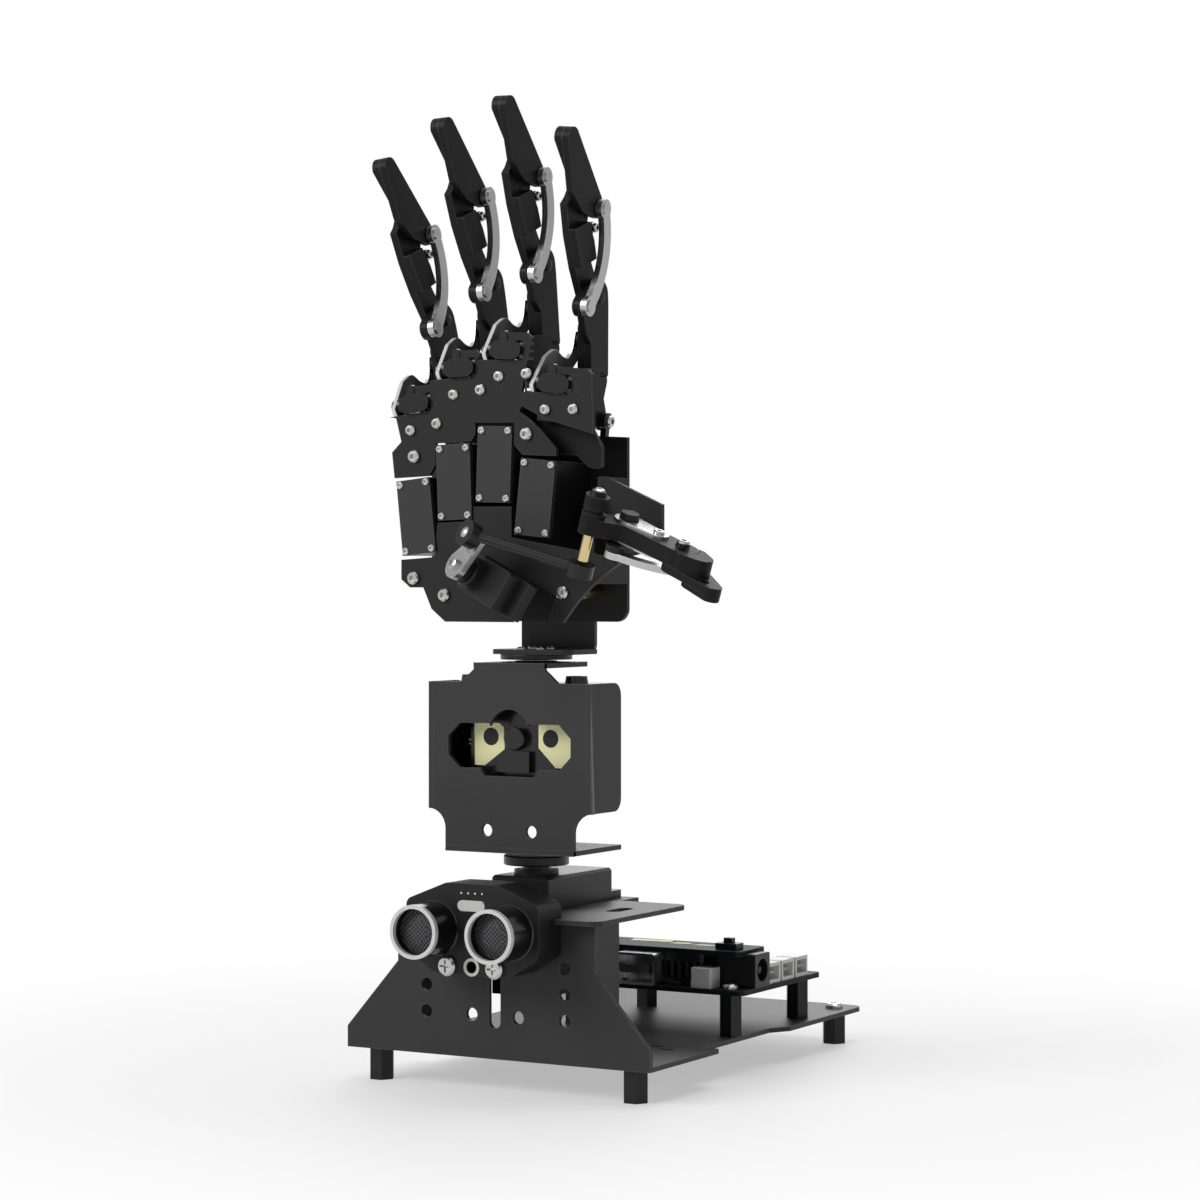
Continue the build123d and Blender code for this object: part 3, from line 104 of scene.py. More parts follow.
def grainGroup():
    # noise stretched along one axis for brushing, or left even for moulded and coated faces
    group, enter, leave = newGroup(
        "grain",
        [("Scale", "NodeSocketFloat", 900.0), ("Stretch", "NodeSocketVector", (1, 1, 1))],
        [("Fine", "NodeSocketFloat"), ("Broad", "NodeSocketFloat")],
    )
    coords = group.nodes.new("ShaderNodeTexCoord")
    mapping = group.nodes.new("ShaderNodeMapping")
    group.links.new(coords.outputs["Object"], mapping.inputs["Vector"])
    group.links.new(enter.outputs["Stretch"], mapping.inputs["Scale"])
    fine = group.nodes.new("ShaderNodeTexNoise")
    fine.inputs["Detail"].default_value = 4.0
    group.links.new(mapping.outputs["Vector"], fine.inputs["Vector"])
    group.links.new(enter.outputs["Scale"], fine.inputs["Scale"])
    broad = group.nodes.new("ShaderNodeTexNoise")
    broad.inputs["Scale"].default_value = 38.0
    broad.inputs["Detail"].default_value = 5.0
    group.links.new(coords.outputs["Object"], broad.inputs["Vector"])
    group.links.new(fine.outputs["Fac"], leave.inputs["Fine"])
    group.links.new(broad.outputs["Fac"], leave.inputs["Broad"])
    return group


edgeGlintAndWear = edgeGlintAndWearGroup()
grain = grainGroup()

# Finishes: base colour, edge colour for the painted edge highlight and wear, gloss, grain and edge size of
# each material

finishes = {
    "blackSheet": dict(base=0.040, edge=0.15, rough=0.50, metal=0.0, shine=0.28, edgeSize=0.0004,
                       edgeGain=2.4, grainScale=2600, stretch=(1, 1, 1), bump=0.05, mottle=0.35),
    "palmSheet": dict(base=0.019, edge=0.10, rough=0.50, metal=0.0, shine=0.20, edgeSize=0.0004,
                      edgeGain=2.4, grainScale=2600, stretch=(1, 1, 1), bump=0.05, mottle=0.30),
    "blackCase": dict(base=0.016, edge=0.07, rough=0.38, metal=0.0, shine=0.25, edgeSize=0.0005,
                      edgeGain=2.4, grainScale=3400, stretch=(1, 1, 1), bump=0.06, mottle=0.30),
    "glossCase": dict(base=0.007, edge=0.04, rough=0.22, metal=0.0, shine=0.45, edgeSize=0.0004,
                      edgeGain=2.0, grainScale=3400, stretch=(1, 1, 1), bump=0.02, mottle=0.25),
    "blackLimb": dict(base=0.009, edge=0.09, rough=0.45, metal=0.0, shine=0.15, edgeSize=0.0005,
                      edgeGain=2.6, grainScale=2400, stretch=(1, 1, 0.2), bump=0.06, mottle=0.35),
    "blackNylon": dict(base=0.013, edge=0.06, rough=0.32, metal=0.0, shine=0.30, edgeSize=0.0006,
                       edgeGain=2.2, grainScale=1800, stretch=(1, 1, 1), bump=0.03, mottle=0.25),
    "yokeFace": dict(base=0.16, edge=0.90, rough=0.38, metal=0.20, shine=0.4, edgeSize=0.0007,
                     edgeGain=4.0, grainScale=2600, stretch=(1, 1, 0.06), bump=0.06, mottle=0.50),
    "brightEdge": dict(base=0.80, edge=0.95, rough=0.32, metal=0.35, shine=0.5, edgeSize=0.0004,
                       edgeGain=2.0, grainScale=2600, stretch=(1, 1, 0.06), bump=0.06, mottle=0.15),
    "silver": dict(base=0.55, edge=0.90, rough=0.30, metal=1.0, shine=0.5, edgeSize=0.0004,
                   edgeGain=2.5, grainScale=2600, stretch=(1, 1, 0.06), bump=0.10, mottle=0.25),
    "steel": dict(base=0.58, edge=0.90, rough=0.24, metal=1.0, shine=0.5, edgeSize=0.0003,
                  edgeGain=2.2, grainScale=5200, stretch=(1, 1, 1), bump=0.04, mottle=0.20),
    "whitePlastic": dict(base=0.80, edge=0.92, rough=0.38, metal=0.0, shine=0.5, edgeSize=0.0004,
                         edgeGain=1.5, grainScale=2600, stretch=(1, 1, 1), bump=0.03, mottle=0.10),
    "labelFilm": dict(base=1.0, edge=1.0, rough=0.55, metal=0.0, shine=0.3, edgeSize=0.0002,
                      edgeGain=1.0, grainScale=2600, stretch=(1, 1, 1), bump=0.02, mottle=0.12),
}
tints = {
    "blackSheet": (1.0, 1.0, 1.03), "palmSheet": (1.0, 1.0, 1.02), "blackCase": (1.0, 1.0, 1.03),
    "blackLimb": (1.0, 1.0, 1.02), "blackNylon": (1.0, 1.0, 1.04), "silver": (1.0, 1.0, 1.02),
    "steel": (1.0, 0.99, 0.97), "whitePlastic": (1.0, 1.0, 0.985), "glossCase": (1.0, 1.0, 1.05),
    "yokeFace": (1.0, 1.0, 1.03), "brightEdge": (1.0, 1.0, 1.0), "labelFilm": (1.0, 0.97, 0.56),
}


def tinted(level, tint):
    return tuple(min(1.0, level * c) for c in tint) + (1.0,)


def groupNode(tree, group, **values):
    node = tree.nodes.new("ShaderNodeGroup")
    node.node_tree = group
    for label, value in values.items():
        node.inputs[label].default_value = value
    return node


def mixColour(tree, factor, first, second):
    node = tree.nodes.new("ShaderNodeMix")
    node.data_type = "RGBA"
    tree.links.new(factor, node.inputs["Factor"])
    for socket, value in ((node.inputs[6], first), (node.inputs[7], second)):
        if isinstance(value, tuple):
            socket.default_value = value
        else:
            tree.links.new(value, socket)
    return node.outputs[2]


def dressedMaterial(name, finish, tint, base=None, edge=None):
    # base colour with broad mottling, lighter edges as painted highlight and wear, fine bump from the grain
    material = bpy.data.materials.new(name)
    material.use_nodes = True
    tree = material.node_tree
    shader = tree.nodes["Principled BSDF"]
    baseColour = base or tinted(finish["base"], tint)
    darker = tuple(c * (1 - finish["mottle"]) for c in baseColour[:3]) + (1.0,)
    edgeColour = edge or tinted(finish["edge"], tint)
    grainNode = groupNode(tree, grain, Scale=float(finish["grainScale"]), Stretch=finish["stretch"])
    glintAndWearNode = groupNode(tree, edgeGlintAndWear, Radius=finish["edgeSize"], Strength=finish["edgeGain"])
    body = mixColour(tree, grainNode.outputs["Broad"], darker, baseColour)
    tree.links.new(mixColour(tree, glintAndWearNode.outputs["Mask"], body, edgeColour), shader.inputs["Base Color"])
    spread = mathNode(tree, "MULTIPLY", grainNode.outputs["Fine"], 0.22)
    tree.links.new(mathNode(tree, "ADD", spread, finish["rough"] - 0.11), shader.inputs["Roughness"])
    shader.inputs["Metallic"].default_value = finish["metal"]
    shader.inputs["Specular IOR Level"].default_value = finish["shine"]
    bump = tree.nodes.new("ShaderNodeBump")
    bump.inputs["Strength"].default_value = finish["bump"]
    bump.inputs["Distance"].default_value = 0.0004
    tree.links.new(grainNode.outputs["Fine"], bump.inputs["Height"])
    tree.links.new(bump.outputs["Normal"], shader.inputs["Normal"])
    return material


materials = {name: dressedMaterial(name, finish, tints[name]) for name, finish in finishes.items()}
brassTint = (1.0, 0.80, 0.42)
brassFinish = dict(finishes["steel"], base=0.72, edge=0.95, rough=0.22)
materials["brass"] = dressedMaterial("brass", brassFinish, brassTint)
boardColour = (0.010, 0.012, 0.016, 1.0)
materials["board"] = dressedMaterial("board", dict(finishes["blackCase"], rough=0.55, shine=0.12), (1, 1, 1),
                                     base=boardColour, edge=(0.05, 0.06, 0.06, 1.0))


def meshFaceMaterial():
    # a fine check of dark and grey squares, for the wire mesh under the sensor's rims
    material = dressedMaterial("sensorMesh", finishes["blackCase"], tints["blackCase"])
    tree = material.node_tree
    coords = tree.nodes.new("ShaderNodeTexCoord")
    weave = tree.nodes.new("ShaderNodeTexChecker")
    weave.inputs["Scale"].default_value = 1500.0
    weave.inputs["Color1"].default_value = (0.012, 0.012, 0.013, 1)
    weave.inputs["Color2"].default_value = (0.10, 0.10, 0.105, 1)
    tree.links.new(coords.outputs["Object"], weave.inputs["Vector"])
    tree.links.new(weave.outputs["Color"], tree.nodes["Principled BSDF"].inputs["Base Color"])
    return material


materials["sensorMesh"] = meshFaceMaterial()
print("stage: materials", sorted(materials))

# Which finish each carried-over node takes

nodeFinish = {
    "blackSheet": ["base_plate", "servo_deck", "forearm_bracket", "wrist_bracket", "servo_covers"],
    "palmSheet": ["palm_front_plate", "palm_lower_plate", "palm_back_plate", "thumb_bracket"],
    "blackCase": ["base_servo", "sensor_housing", "wrist_servo", "thumb_servo", "finger_servos",
                  "knuckle_blocks", "power_jack", "sensor_barrels"],
    "blackNylon": ["feet", "board_standoffs", "base_horn", "wrist_horn", "thumb_rod"]
                  + [f + "_rod" for f in fingers],
    "blackLimb": ["thumb_base", "thumb_tip"]
                 + [f + p for f in fingers for p in ("_proximal", "_middle", "_distal")],
    "silver": ["usb_socket", "thumb_plates", "thumb_arm", "thumb_link"]
              + [f + p for f in fingers for p in ("_link", "_arm")],
    "steel": ["base_screws", "hand_screws"],
    "brass": ["palm_spacers", "thumb_spacer"],
    "whitePlastic": ["servo_sockets", "sensor_rings"],
    "board": ["controller_board", "shield_board"],
}
for finishName, members in nodeFinish.items():
    for member in members:
        slots = nodes[member].data.materials
        slots.clear()
        slots.append(materials[finishName])

# Shape tools: places are given in millimetres, and every mesh is written in metres


def place(origin, u, v, w):
    return {"origin": np.array(origin, float), "axes": np.array([u, v, w], float)}


def fromPlace(points, at):
    # first, second and third number of each point along the place's three directions
    return (at["origin"] + np.asarray(points, float) @ at["axes"]) * mm


def frontFace(y):
    return place((0, y, 0), (1, 0, 0), (0, 0, 1), (0, -1, 0))


def levelFace(z):
    return place((0, 0, z), (1, 0, 0), (0, 1, 0), (0, 0, 1))


def sideFace(x):
    return place((x, 0, 0), (0, 1, 0), (0, 0, 1), (1, 0, 0))


def slantPlace(origin, along, up):
    # third direction along up, first direction along what is left of along once it is square to up
    w = np.array(up) / np.linalg.norm(up)
    u = along - w * (w @ along)
    u = u / np.linalg.norm(u)
    return place(origin, u, np.cross(w, u), w)


# x and z of each finger's base, and its splay about Y in degrees
fingerPlaces = {"pinky": (-32.9, 172.6, -6.0), "ring": (-19.2, 183.0, -2.0),
                "middle": (-4.9, 188.1, 2.0), "index": (9.5, 177.8, 6.0)}


def fingerFrame(finger):
    # lateral, dorsal and up directions of a finger that is splayed about Y
    x, z, splay = fingerPlaces[finger]
    turn = math.radians(splay)
    lateral = np.array([math.cos(turn), 0, -math.sin(turn)])
    up = np.array([math.sin(turn), 0, math.cos(turn)])
    return np.array([x, 0, z]), lateral, np.array([0, 1.0, 0]), up


def limbPlace(finger, y, z, lean):
    # across the finger: dorsal, along the limb and lateral, for a limb that leans forward
    base, lateral, dorsal, up = fingerFrame(finger)
    turn = math.radians(lean)
    return place(base + dorsal * y + up * z, dorsal * math.cos(turn) + up * math.sin(turn),
                 up * math.cos(turn) - dorsal * math.sin(turn), lateral)


def fingerFace(finger, y):
    base, lateral, dorsal, up = fingerFrame(finger)
    return place(base + dorsal * y, lateral, up, -dorsal)


def ringLoop(x, y, r, count=32):
    angle = np.linspace(0, 2 * np.pi, count, endpoint=False)
    return np.stack([x + r * np.cos(angle), y + r * np.sin(angle)], axis=1)


def hullLoop(*discs):
    # the tightest outline round several discs, each given as x, y and radius
    cloud = np.concatenate([ringLoop(*disc) for disc in discs])
    return cloud[geometry.convex_hull_2d(cloud.tolist())]


def boxLoop(x, y, wide, high):
    return np.array([(x - wide / 2, y - high / 2), (x + wide / 2, y - high / 2),
                     (x + wide / 2, y + high / 2), (x - wide / 2, y + high / 2)])


def softLoop(corners, radii):
    # each corner of an outline is replaced by an arc of its own radius
    corners = np.asarray(corners, float)
    parts = []
    for k, radius in enumerate(np.broadcast_to(radii, len(corners))):
        corner = corners[k]
        if radius <= 0:
            parts.append(corner[None])
            continue
        back = corners[k - 1] - corner
        ahead = corners[(k + 1) % len(corners)] - corner
        back, ahead = back / np.linalg.norm(back), ahead / np.linalg.norm(ahead)
        half = math.acos(np.clip(back @ ahead, -1, 1)) / 2
        reach = radius / math.tan(half)
        centre = corner + (back + ahead) / np.linalg.norm(back + ahead) * radius / math.sin(half)
        start, end = corner + back * reach - centre, corner + ahead * reach - centre
        first = math.atan2(start[1], start[0])
        sweep = (math.atan2(end[1], end[0]) - first + np.pi) % (2 * np.pi) - np.pi
        angle = first + sweep * np.linspace(0, 1, 7)
        parts.append(centre + radius * np.stack([np.cos(angle), np.sin(angle)], axis=1))
    return np.concatenate(parts)


def curveLoop(points, steps=6):
    # a smooth run through the points: each stretch blends the slopes at its two ends
    points = np.asarray(points, float)
    slopes = np.gradient(points, axis=0)
    t = np.linspace(0, 1, steps, endpoint=False)[None, :, None]
    a, b = points[:-1, None], points[1:, None]
    sa, sb = slopes[:-1, None], slopes[1:, None]
    run = (2 * t**3 - 3 * t**2 + 1) * a + (3 * t**2 - 2 * t**3) * b
    run = run + (t**3 - 2 * t**2 + t) * sa + (t**3 - t**2) * sb
    return np.concatenate([run.reshape(-1, 2), points[-1:]])


def plate(loops, low, high, at, cap=0, wall=0):
    # an outline with holes, carried straight from its low face to its high face, and filled at both
    loops = [np.asarray(loop, float) for loop in ([loops] if np.ndim(loops[0]) == 1 else loops)]
    flat = np.concatenate(loops)
    count = len(flat)
    depth = np.repeat([low, high], count)[:, None]
    points = fromPlace(np.hstack([np.tile(flat, (2, 1)), depth]), at)
    fill = np.array(geometry.tessellate_polygon([[Vector((x, y, 0)) for x, y in loop] for loop in loops]))
    faces, start = [], 0
    for loop in loops:
        here = start + np.arange(len(loop))
        after = np.roll(here, -1)
        faces += np.stack([here, after, after + count, here + count], axis=1).tolist()
        start += len(loop)
    slots = [wall] * len(faces) + [cap] * (2 * len(fill))
    faces += fill[:, ::-1].tolist() + (fill + count).tolist()
    return points, faces, slots


def turned(profile, at, sides=28, lobes=0, inner=0):
    # a profile of radius and height turned once round; the first inner points follow a hexagon or a cross
    profile = np.asarray(profile, float)
    angle = np.linspace(0, 2 * np.pi, sides, endpoint=False)
    shape = np.ones(sides)
    if lobes == 6:
        shape = math.cos(np.pi / 6) / np.cos((angle + np.pi / 6) % (np.pi / 3) - np.pi / 6)
    if lobes == 4:
        shape = 0.30 + 0.70 * np.abs(np.cos(2 * angle))**5
    radius = np.tile(profile[:, 0], (sides, 1))
    radius[:, :inner] *= shape[:, None]
    height = np.tile(profile[:, 1], (sides, 1))
    points = np.stack([radius * np.cos(angle)[:, None], radius * np.sin(angle)[:, None], height], axis=2)
    rows = len(profile)
    grid = np.arange(sides * rows).reshape(sides, rows)
    beside = np.roll(grid, -1, axis=0)
    faces = np.stack([grid[:, :-1], beside[:, :-1], beside[:, 1:], grid[:, 1:]], axis=2).reshape(-1, 4)
    return fromPlace(points.reshape(-1, 3), at), faces.tolist(), [0] * len(faces)


def shifted(at, u, v, w=0):
    return {"origin": at["origin"] + np.array([u, v, w]) @ at["axes"], "axes": at["axes"]}


def socketHead(at, radius, high, lobes=6):
    # domed screw head with a recess of six or four lobes
    well = radius * (0.5 if lobes == 6 else 0.72)
    profile = [(0, high * 0.3), (well, high * 0.3), (well, high), (radius * 0.8, high * 0.97),
               (radius, high * 0.6), (radius, 0), (0, 0)]
    return turned(profile, at, 24 if lobes == 6 else 40, lobes, 3)


def makePiece(name, parts, body, materialNames, replaces=(), edge=0.0, smooth=False):
    # parts joined in one mesh, with rounded edges of the given width in millimetres
    points, faces, slots, start = [], [], [], 0
    for partPoints, partFaces, partSlots in parts:
        points.append(partPoints)
        faces += [[start + index for index in face] for face in partFaces]
        slots += partSlots
        start += len(partPoints)
    mesh = bpy.data.meshes.new(name)
    mesh.from_pydata(np.concatenate(points).tolist(), [], faces)
    mesh.polygons.foreach_set("material_index", np.array(slots, dtype=np.int32))
    shell = bmesh.new()
    shell.from_mesh(mesh)
    bmesh.ops.remove_doubles(shell, verts=shell.verts, dist=1e-6)
    bmesh.ops.recalc_face_normals(shell, faces=shell.faces)
    shell.to_mesh(mesh)
    shell.free()
    for materialName in materialNames:
        mesh.materials.append(materials[materialName])
    if smooth:
        mesh.shade_smooth()
        mesh.set_sharp_from_angle(angle=math.radians(35))
    piece = bpy.data.objects.new(name, mesh)
    bpy.context.scene.collection.objects.link(piece)
    if edge:
        bevel = piece.modifiers.new("edges", "BEVEL")
        bevel.width = edge * mm
        bevel.segments = 2
        bevel.limit_method = "ANGLE"
        bevel.angle_limit = math.radians(40)
        bevel.use_clamp_overlap = True
    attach(piece, body)
    if replaces:
        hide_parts(*replaces)


# Finger yokes and limbs

yokeSet = dict(knuckle=(-63.0, 34.5), leftIn=-3.9, rightIn=3.9, sheet=1.2, ring=4.2, bore=3.3,
               lever=(23.65, -9.8), anchor=(17.0, 3.0), leftAnchor=(20.5, 14.2), leverRound=3.0,
               leverBore=1.2, leftHole=(0.6, 0.2, 2.0))
limbSet = dict(pip=(-43.3, 62.0), lean=10.0, middleLean=23.0, distalLean=34.0, middleLength=31.7,
               distalLength=20.0, half=2.5, gap=0.1, lowEar=(-8.7, -3.3), highEar=(7.7, -2.7), heel=9.0,
               bore=1.3, pin=1.2, screw=(5.3, 20.4))


def leaned(point, lean):
    turn = math.radians(lean)
    y, z = point
    return (y * math.cos(turn) + z * math.sin(turn), z * math.cos(turn) - y * math.sin(turn))


def yokeParts(finger):
    y, z = yokeSet["knuckle"]
    at = limbPlace(finger, y, z, 0)
    wave = curveLoop([(2.0, 8.0), (7.2, 10.4), (12.0, 8.6), (15.6, 8.4), (17.4, 11.4), (18.2, 16.6)])
    back = curveLoop([(22.4, 17.2), (23.4, 11.6), (18.6, 5.4), (10.0, -0.6), (4.0, -3.6)])
    left = np.concatenate([ringLoop(0, 0, yokeSet["ring"])[17:24][::-1], wave, back])
    lever, anchor, rounding = yokeSet["lever"], yokeSet["anchor"], yokeSet["leverRound"]
    right = hullLoop((1.0, 0, yokeSet["ring"]), (*lever, rounding), (*anchor, rounding))
    thick, leftIn, rightIn = yokeSet["sheet"], yokeSet["leftIn"], yokeSet["rightIn"]
    return [plate([left, ringLoop(*yokeSet["leftHole"])], leftIn - thick, leftIn, at, 0, 1),
            plate([right, ringLoop(0, 0, yokeSet["bore"]), ringLoop(*lever, yokeSet["leverBore"])],
                  rightIn, rightIn + thick, at, 2, 2)]


def fromKnuckle(point):
    # a point given from the knuckle, in the phalanx's own leaning directions
    steps = zip(yokeSet["knuckle"], point, limbSet["pip"])
    return leaned([knuckle + step - pip for knuckle, step, pip in steps], limbSet["lean"])


def phalanxParts(finger):
    at = limbPlace(finger, *limbSet["pip"], limbSet["lean"])
    low, gap, high = -limbSet["half"], limbSet["gap"], limbSet["half"]
    nose = leaned(limbSet["lowEar"], limbSet["lean"])
    lever = fromKnuckle(yokeSet["lever"])
    anchor = fromKnuckle(yokeSet["leftAnchor"])
    stem = np.concatenate([[(-4.0, -7.5), (-4.6, -9.0), (-4.6, -27.0)], ringLoop(*lever, 3.0)[16:],
                           [(5.6, -27.0), (5.8, -9.0), (5.0, -7.5)]])
    right = np.concatenate([softLoop([(-4.6, -14.0), (-4.6, -25.0), (5.6, -25.0), (5.6, -3.0)], [0, 1, 1, 0]),
                            ringLoop(0, 0, 5.4)[0:13], [(nose[0] - 1.2, nose[1] + 3.1)],
                            ringLoop(*nose, 3.3, 24)[10:19], [(-7.6, -10.5)]])
    pinHead = [(0, 0), (1.9, 0), (1.9, 0.9), (1.2, 1.1), (0, 1.1)]
    return [plate(stem, low, gap, at),
            plate([right, ringLoop(0, 0, limbSet["bore"]), ringLoop(*nose, limbSet["bore"])], gap, high, at),
            plate(hullLoop((*lever, 2.8), (2.0, -26.0, 3.0)), gap, high, at),
            plate(ringLoop(*anchor, 2.4), yokeSet["leftIn"], low, at),
            turned(pinHead, shifted(at, 0, 0, high))]


def middleParts(finger):
    top = limbSet["middleLength"]
    low, gap, high = -limbSet["half"], limbSet["gap"], limbSet["half"]
    at = limbPlace(finger, *limbSet["pip"], limbSet["middleLean"])
    back = curveLoop([(0, top + 1), (4.2, top - 4), (1.0, top - 12), (1.6, 12), (4.6, 1.0)])
    left = np.concatenate([[(-7.6, 11.5), (-8.6, 22.0), (-8.2, top + 0.2), (-5.6, top + 1.4)],
                           ringLoop(0, top, 4.8)[5:11][::-1], back[1:-1], ringLoop(0, 0, 5.0)[17:32][::-1]])
    right = softLoop([(-7.7, 12.0), (-8.7, 22.5), (-8.6, 24.3), (-0.6, 24.3), (1.0, 18.0), (1.2, 12.0)], 0.5)
    ear = hullLoop((1.0, limbSet["screw"][1], 1.9), (*limbSet["screw"], 1.7))
    pins = [plate(ringLoop(0, z, limbSet["pin"]), -gap, high, at) for z in (0, top)]
    return [plate(left, low, -gap, at), plate(right, -gap, high, at), plate(ear, low, -gap, at)] + pins


def distalParts(finger):
    length, heelRound = limbSet["distalLength"], limbSet["heel"]
    turn = math.radians(limbSet["middleLean"])
    y, z = limbSet["pip"]
    dip = (y - limbSet["middleLength"] * math.sin(turn), z + limbSet["middleLength"] * math.cos(turn))
    at = limbPlace(finger, *dip, limbSet["distalLean"])
    body = ((0, length, 3.2), (0, 0, 5.0), (-4.4, 5.4, 2.4))
    right = hullLoop(*body, (*leaned(limbSet["highEar"], limbSet["distalLean"]), 3.0))
    whole = hullLoop(*body)
    far = whole[(np.hypot(whole[:, 0], whole[:, 1]) > heelRound) & (whole[:, 1] > 0)]
    far = far[np.argsort(np.arctan2(far[:, 0], far[:, 1] - 12.0))]
    ends = np.arctan2(far[[-1, 0], 0], far[[-1, 0], 1])
    heel = np.linspace(*ends, 9)
    left = np.concatenate([far, heelRound * np.stack([np.sin(heel), np.cos(heel)], axis=1)])
    return [plate([right, ringLoop(0, 0, limbSet["bore"])], limbSet["gap"], limbSet["half"], at),
            plate(left, -limbSet["half"], limbSet["gap"], at)]


for finger in fingers:
    makePiece(finger + "Yoke", yokeParts(finger), finger + "_proximal_body",
              ["yokeFace", "brightEdge", "blackLimb"], [finger + "_proximal"])
    makePiece(finger + "Phalanx", phalanxParts(finger), finger + "_proximal_body", ["blackLimb"],
              [finger + "_proximal"], edge=0.35)
    makePiece(finger + "MiddleLimb", middleParts(finger), finger + "_middle_body", ["blackLimb"],
              [finger + "_middle"], edge=0.35)
    makePiece(finger + "EndLimb", distalParts(finger), finger + "_distal_body", ["blackLimb"],
              [finger + "_distal"], edge=0.5)
    limb = limbPlace(finger, *limbSet["pip"], limbSet["middleLean"])
    stud = [socketHead(shifted(limb, *limbSet["screw"], -limbSet["gap"]), 1.6, 1.5)]
    makePiece(finger + "LimbScrew", stud, finger + "_middle_body", ["steel"], smooth=True)
print("stage: fingers")

# Knuckle barrels in the front plate's slots, and the plate itself

plateSet = dict(front=-66.0, sheet=1.5, slotHalf=3.0, slotLeft=-6.8, slotRight=8.6, top=5.2)
knuckleSet = dict(ribs=4, ribStart=-3.6, ribStep=1.2, ribHigh=3.1, ribLow=2.75, block=(3.6, 26.4, 13.2, 6.4))
knuckleParts = []
for finger in fingers:
    y, z = yokeSet["knuckle"]
    across = limbPlace(finger, y, z, 0)
    ribbed = [(0, -6.3), (2.2, -6.3), (2.2, -5.2), (1.9, -5.2), (1.9, -3.8), (3.1, -3.8)]
    high, low = knuckleSet["ribHigh"], knuckleSet["ribLow"]
    for k in range(knuckleSet["ribs"]):
        x = knuckleSet["ribStart"] + knuckleSet["ribStep"] * k
        ribbed += [(high, x), (high, x + 0.7), (low, x + 0.8), (low, x + 1.1)]
    ribbed += [(3.0, 1.3), (2.3, 1.8), (2.3, 8.0), (0, 8.0)]
    knuckleParts.append(turned(ribbed, across, 32))
    face = fingerFace(finger, plateSet["front"])
    knuckleParts.append(plate(hullLoop((0.6, z, 2.8), (5.7, z, 2.8)), -2.4, 1.3, face))
    knuckleParts.append(plate(hullLoop((1.6, z + 0.8, 1.5), (1.8, z + 4.6, 1.3)), -1.4, 0.3, face))
    knuckleParts.append(plate(boxLoop(*knuckleSet["block"]), -4.7, -1.6, face))
makePiece("knuckleBarrels", knuckleParts, "hand", ["glossCase"], ["knuckle_blocks"], edge=0.5, smooth=True)


def knuckleEdge(finger, left, right):
    # the sheet's edge over one finger: round the slot that its barrel sits in, and along the top
    z = yokeSet["knuckle"][1]
    half, top = plateSet["slotHalf"], z + plateSet["top"]
    slotLeft, slotRight = plateSet["slotLeft"], plateSet["slotRight"]
    points = np.array([(left, z - half - 0.6), (slotLeft, z - half), (slotRight, z - half),
                       (slotRight, z + half), (3.0, z + half), (3.0, top), (right - 1.6, top),
                       (right, top - 1.4)])
    return fromPlace(np.insert(points, 2, 0, axis=1), fingerFace(finger, 0))[:, [0, 2]] / mm


def combLoop(x0, z0, x1, z1, rows, slitWide=0.75):
    # an upright slit along x0, with level slits out to x1 evenly spaced from z1 down to z0
    points = []
    for top in np.linspace(z1, z0 + slitWide, rows):
        points += [(x0 + slitWide, top), (x1, top), (x1, top - slitWide), (x0 + slitWide, top - slitWide)]
    return np.array([(x0, z0), (x0, z1)] + points[1:-1])


# left, low, right and top end of each slit, and its number of level slits
combs = [(-26.7, 204.4, -24.2, 209.9, 3), (-18.7, 206.2, -16.0, 209.4, 2), (-2.4, 209.0, 0.1, 214.6, 3),
         (5.7, 209.2, 8.0, 214.6, 3), (6.3, 219.2, 8.8, 224.4, 3), (22.6, 208.8, 25.1, 214.2, 3),
         (-10.5, 206.8, -8.0, 209.6, 2), (21.6, 202.0, 24.0, 204.6, 2)]
palmOutline = np.concatenate([
    [(-28.5, 185.0), (-41.1, 184.5), (-42.0, 192.4), (-38.6, 195.6)], knuckleEdge("pinky", -4.4, 10.6),
    knuckleEdge("ring", -8.2, 10.4), knuckleEdge("middle", -8.2, 11.6), knuckleEdge("index", -8.4, 15.4),
    [(29.2, 196.5), (12.5, 201.5), (4.5, 205.5), (3.5, 203.8), (11.0, 198.4), (16.6, 192.5), (16.4, 190.2),
     (4.8, 190.8), (1.9, 193.8), (1.9, 200.6), (-11.9, 200.9), (-11.9, 197.4), (-13.3, 195.3), (-26.2, 194.9),
     (-26.2, 188.3)]])
makePiece("palmFrontSheet", [plate(palmOutline, -plateSet["sheet"], 0, frontFace(plateSet["front"]))],
          "hand", ["palmSheet"], ["palm_front_plate"])
palmFront = frontFace(plateSet["front"])
decalThick = 0.05
palmHoleShade = ((10.6, 196.0, 1.5), (-38.4, 190.6, 1.4))
# the slits and holes are dark flat decals on the sheet: painted shade where the real sheet is cut through
slits = [plate(combLoop(*comb), 0, decalThick, palmFront) for comb in combs]
slits += [plate(ringLoop(*dot), 0, decalThick, palmFront) for dot in palmHoleShade]
makePiece("palmSlitShade", slits, "hand", ["glossCase"])
gussetArm = [(3.5, 203.5), (13, 204.5), (24, 200.5), (28.6, 193), (28.6, 186), (24, 187), (20, 190.5),
             (8, 191.5)]
innerArm = [softLoop(gussetArm, 1.5), ringLoop(6.3, 197.0, 2.4)]
# the inner arm takes the darker blackLimb finish: painted shade for the shadow it sits in
makePiece("palmInnerArm", [plate(innerArm, 0, 1.5, frontFace(-58.0))], "hand", ["blackLimb"])

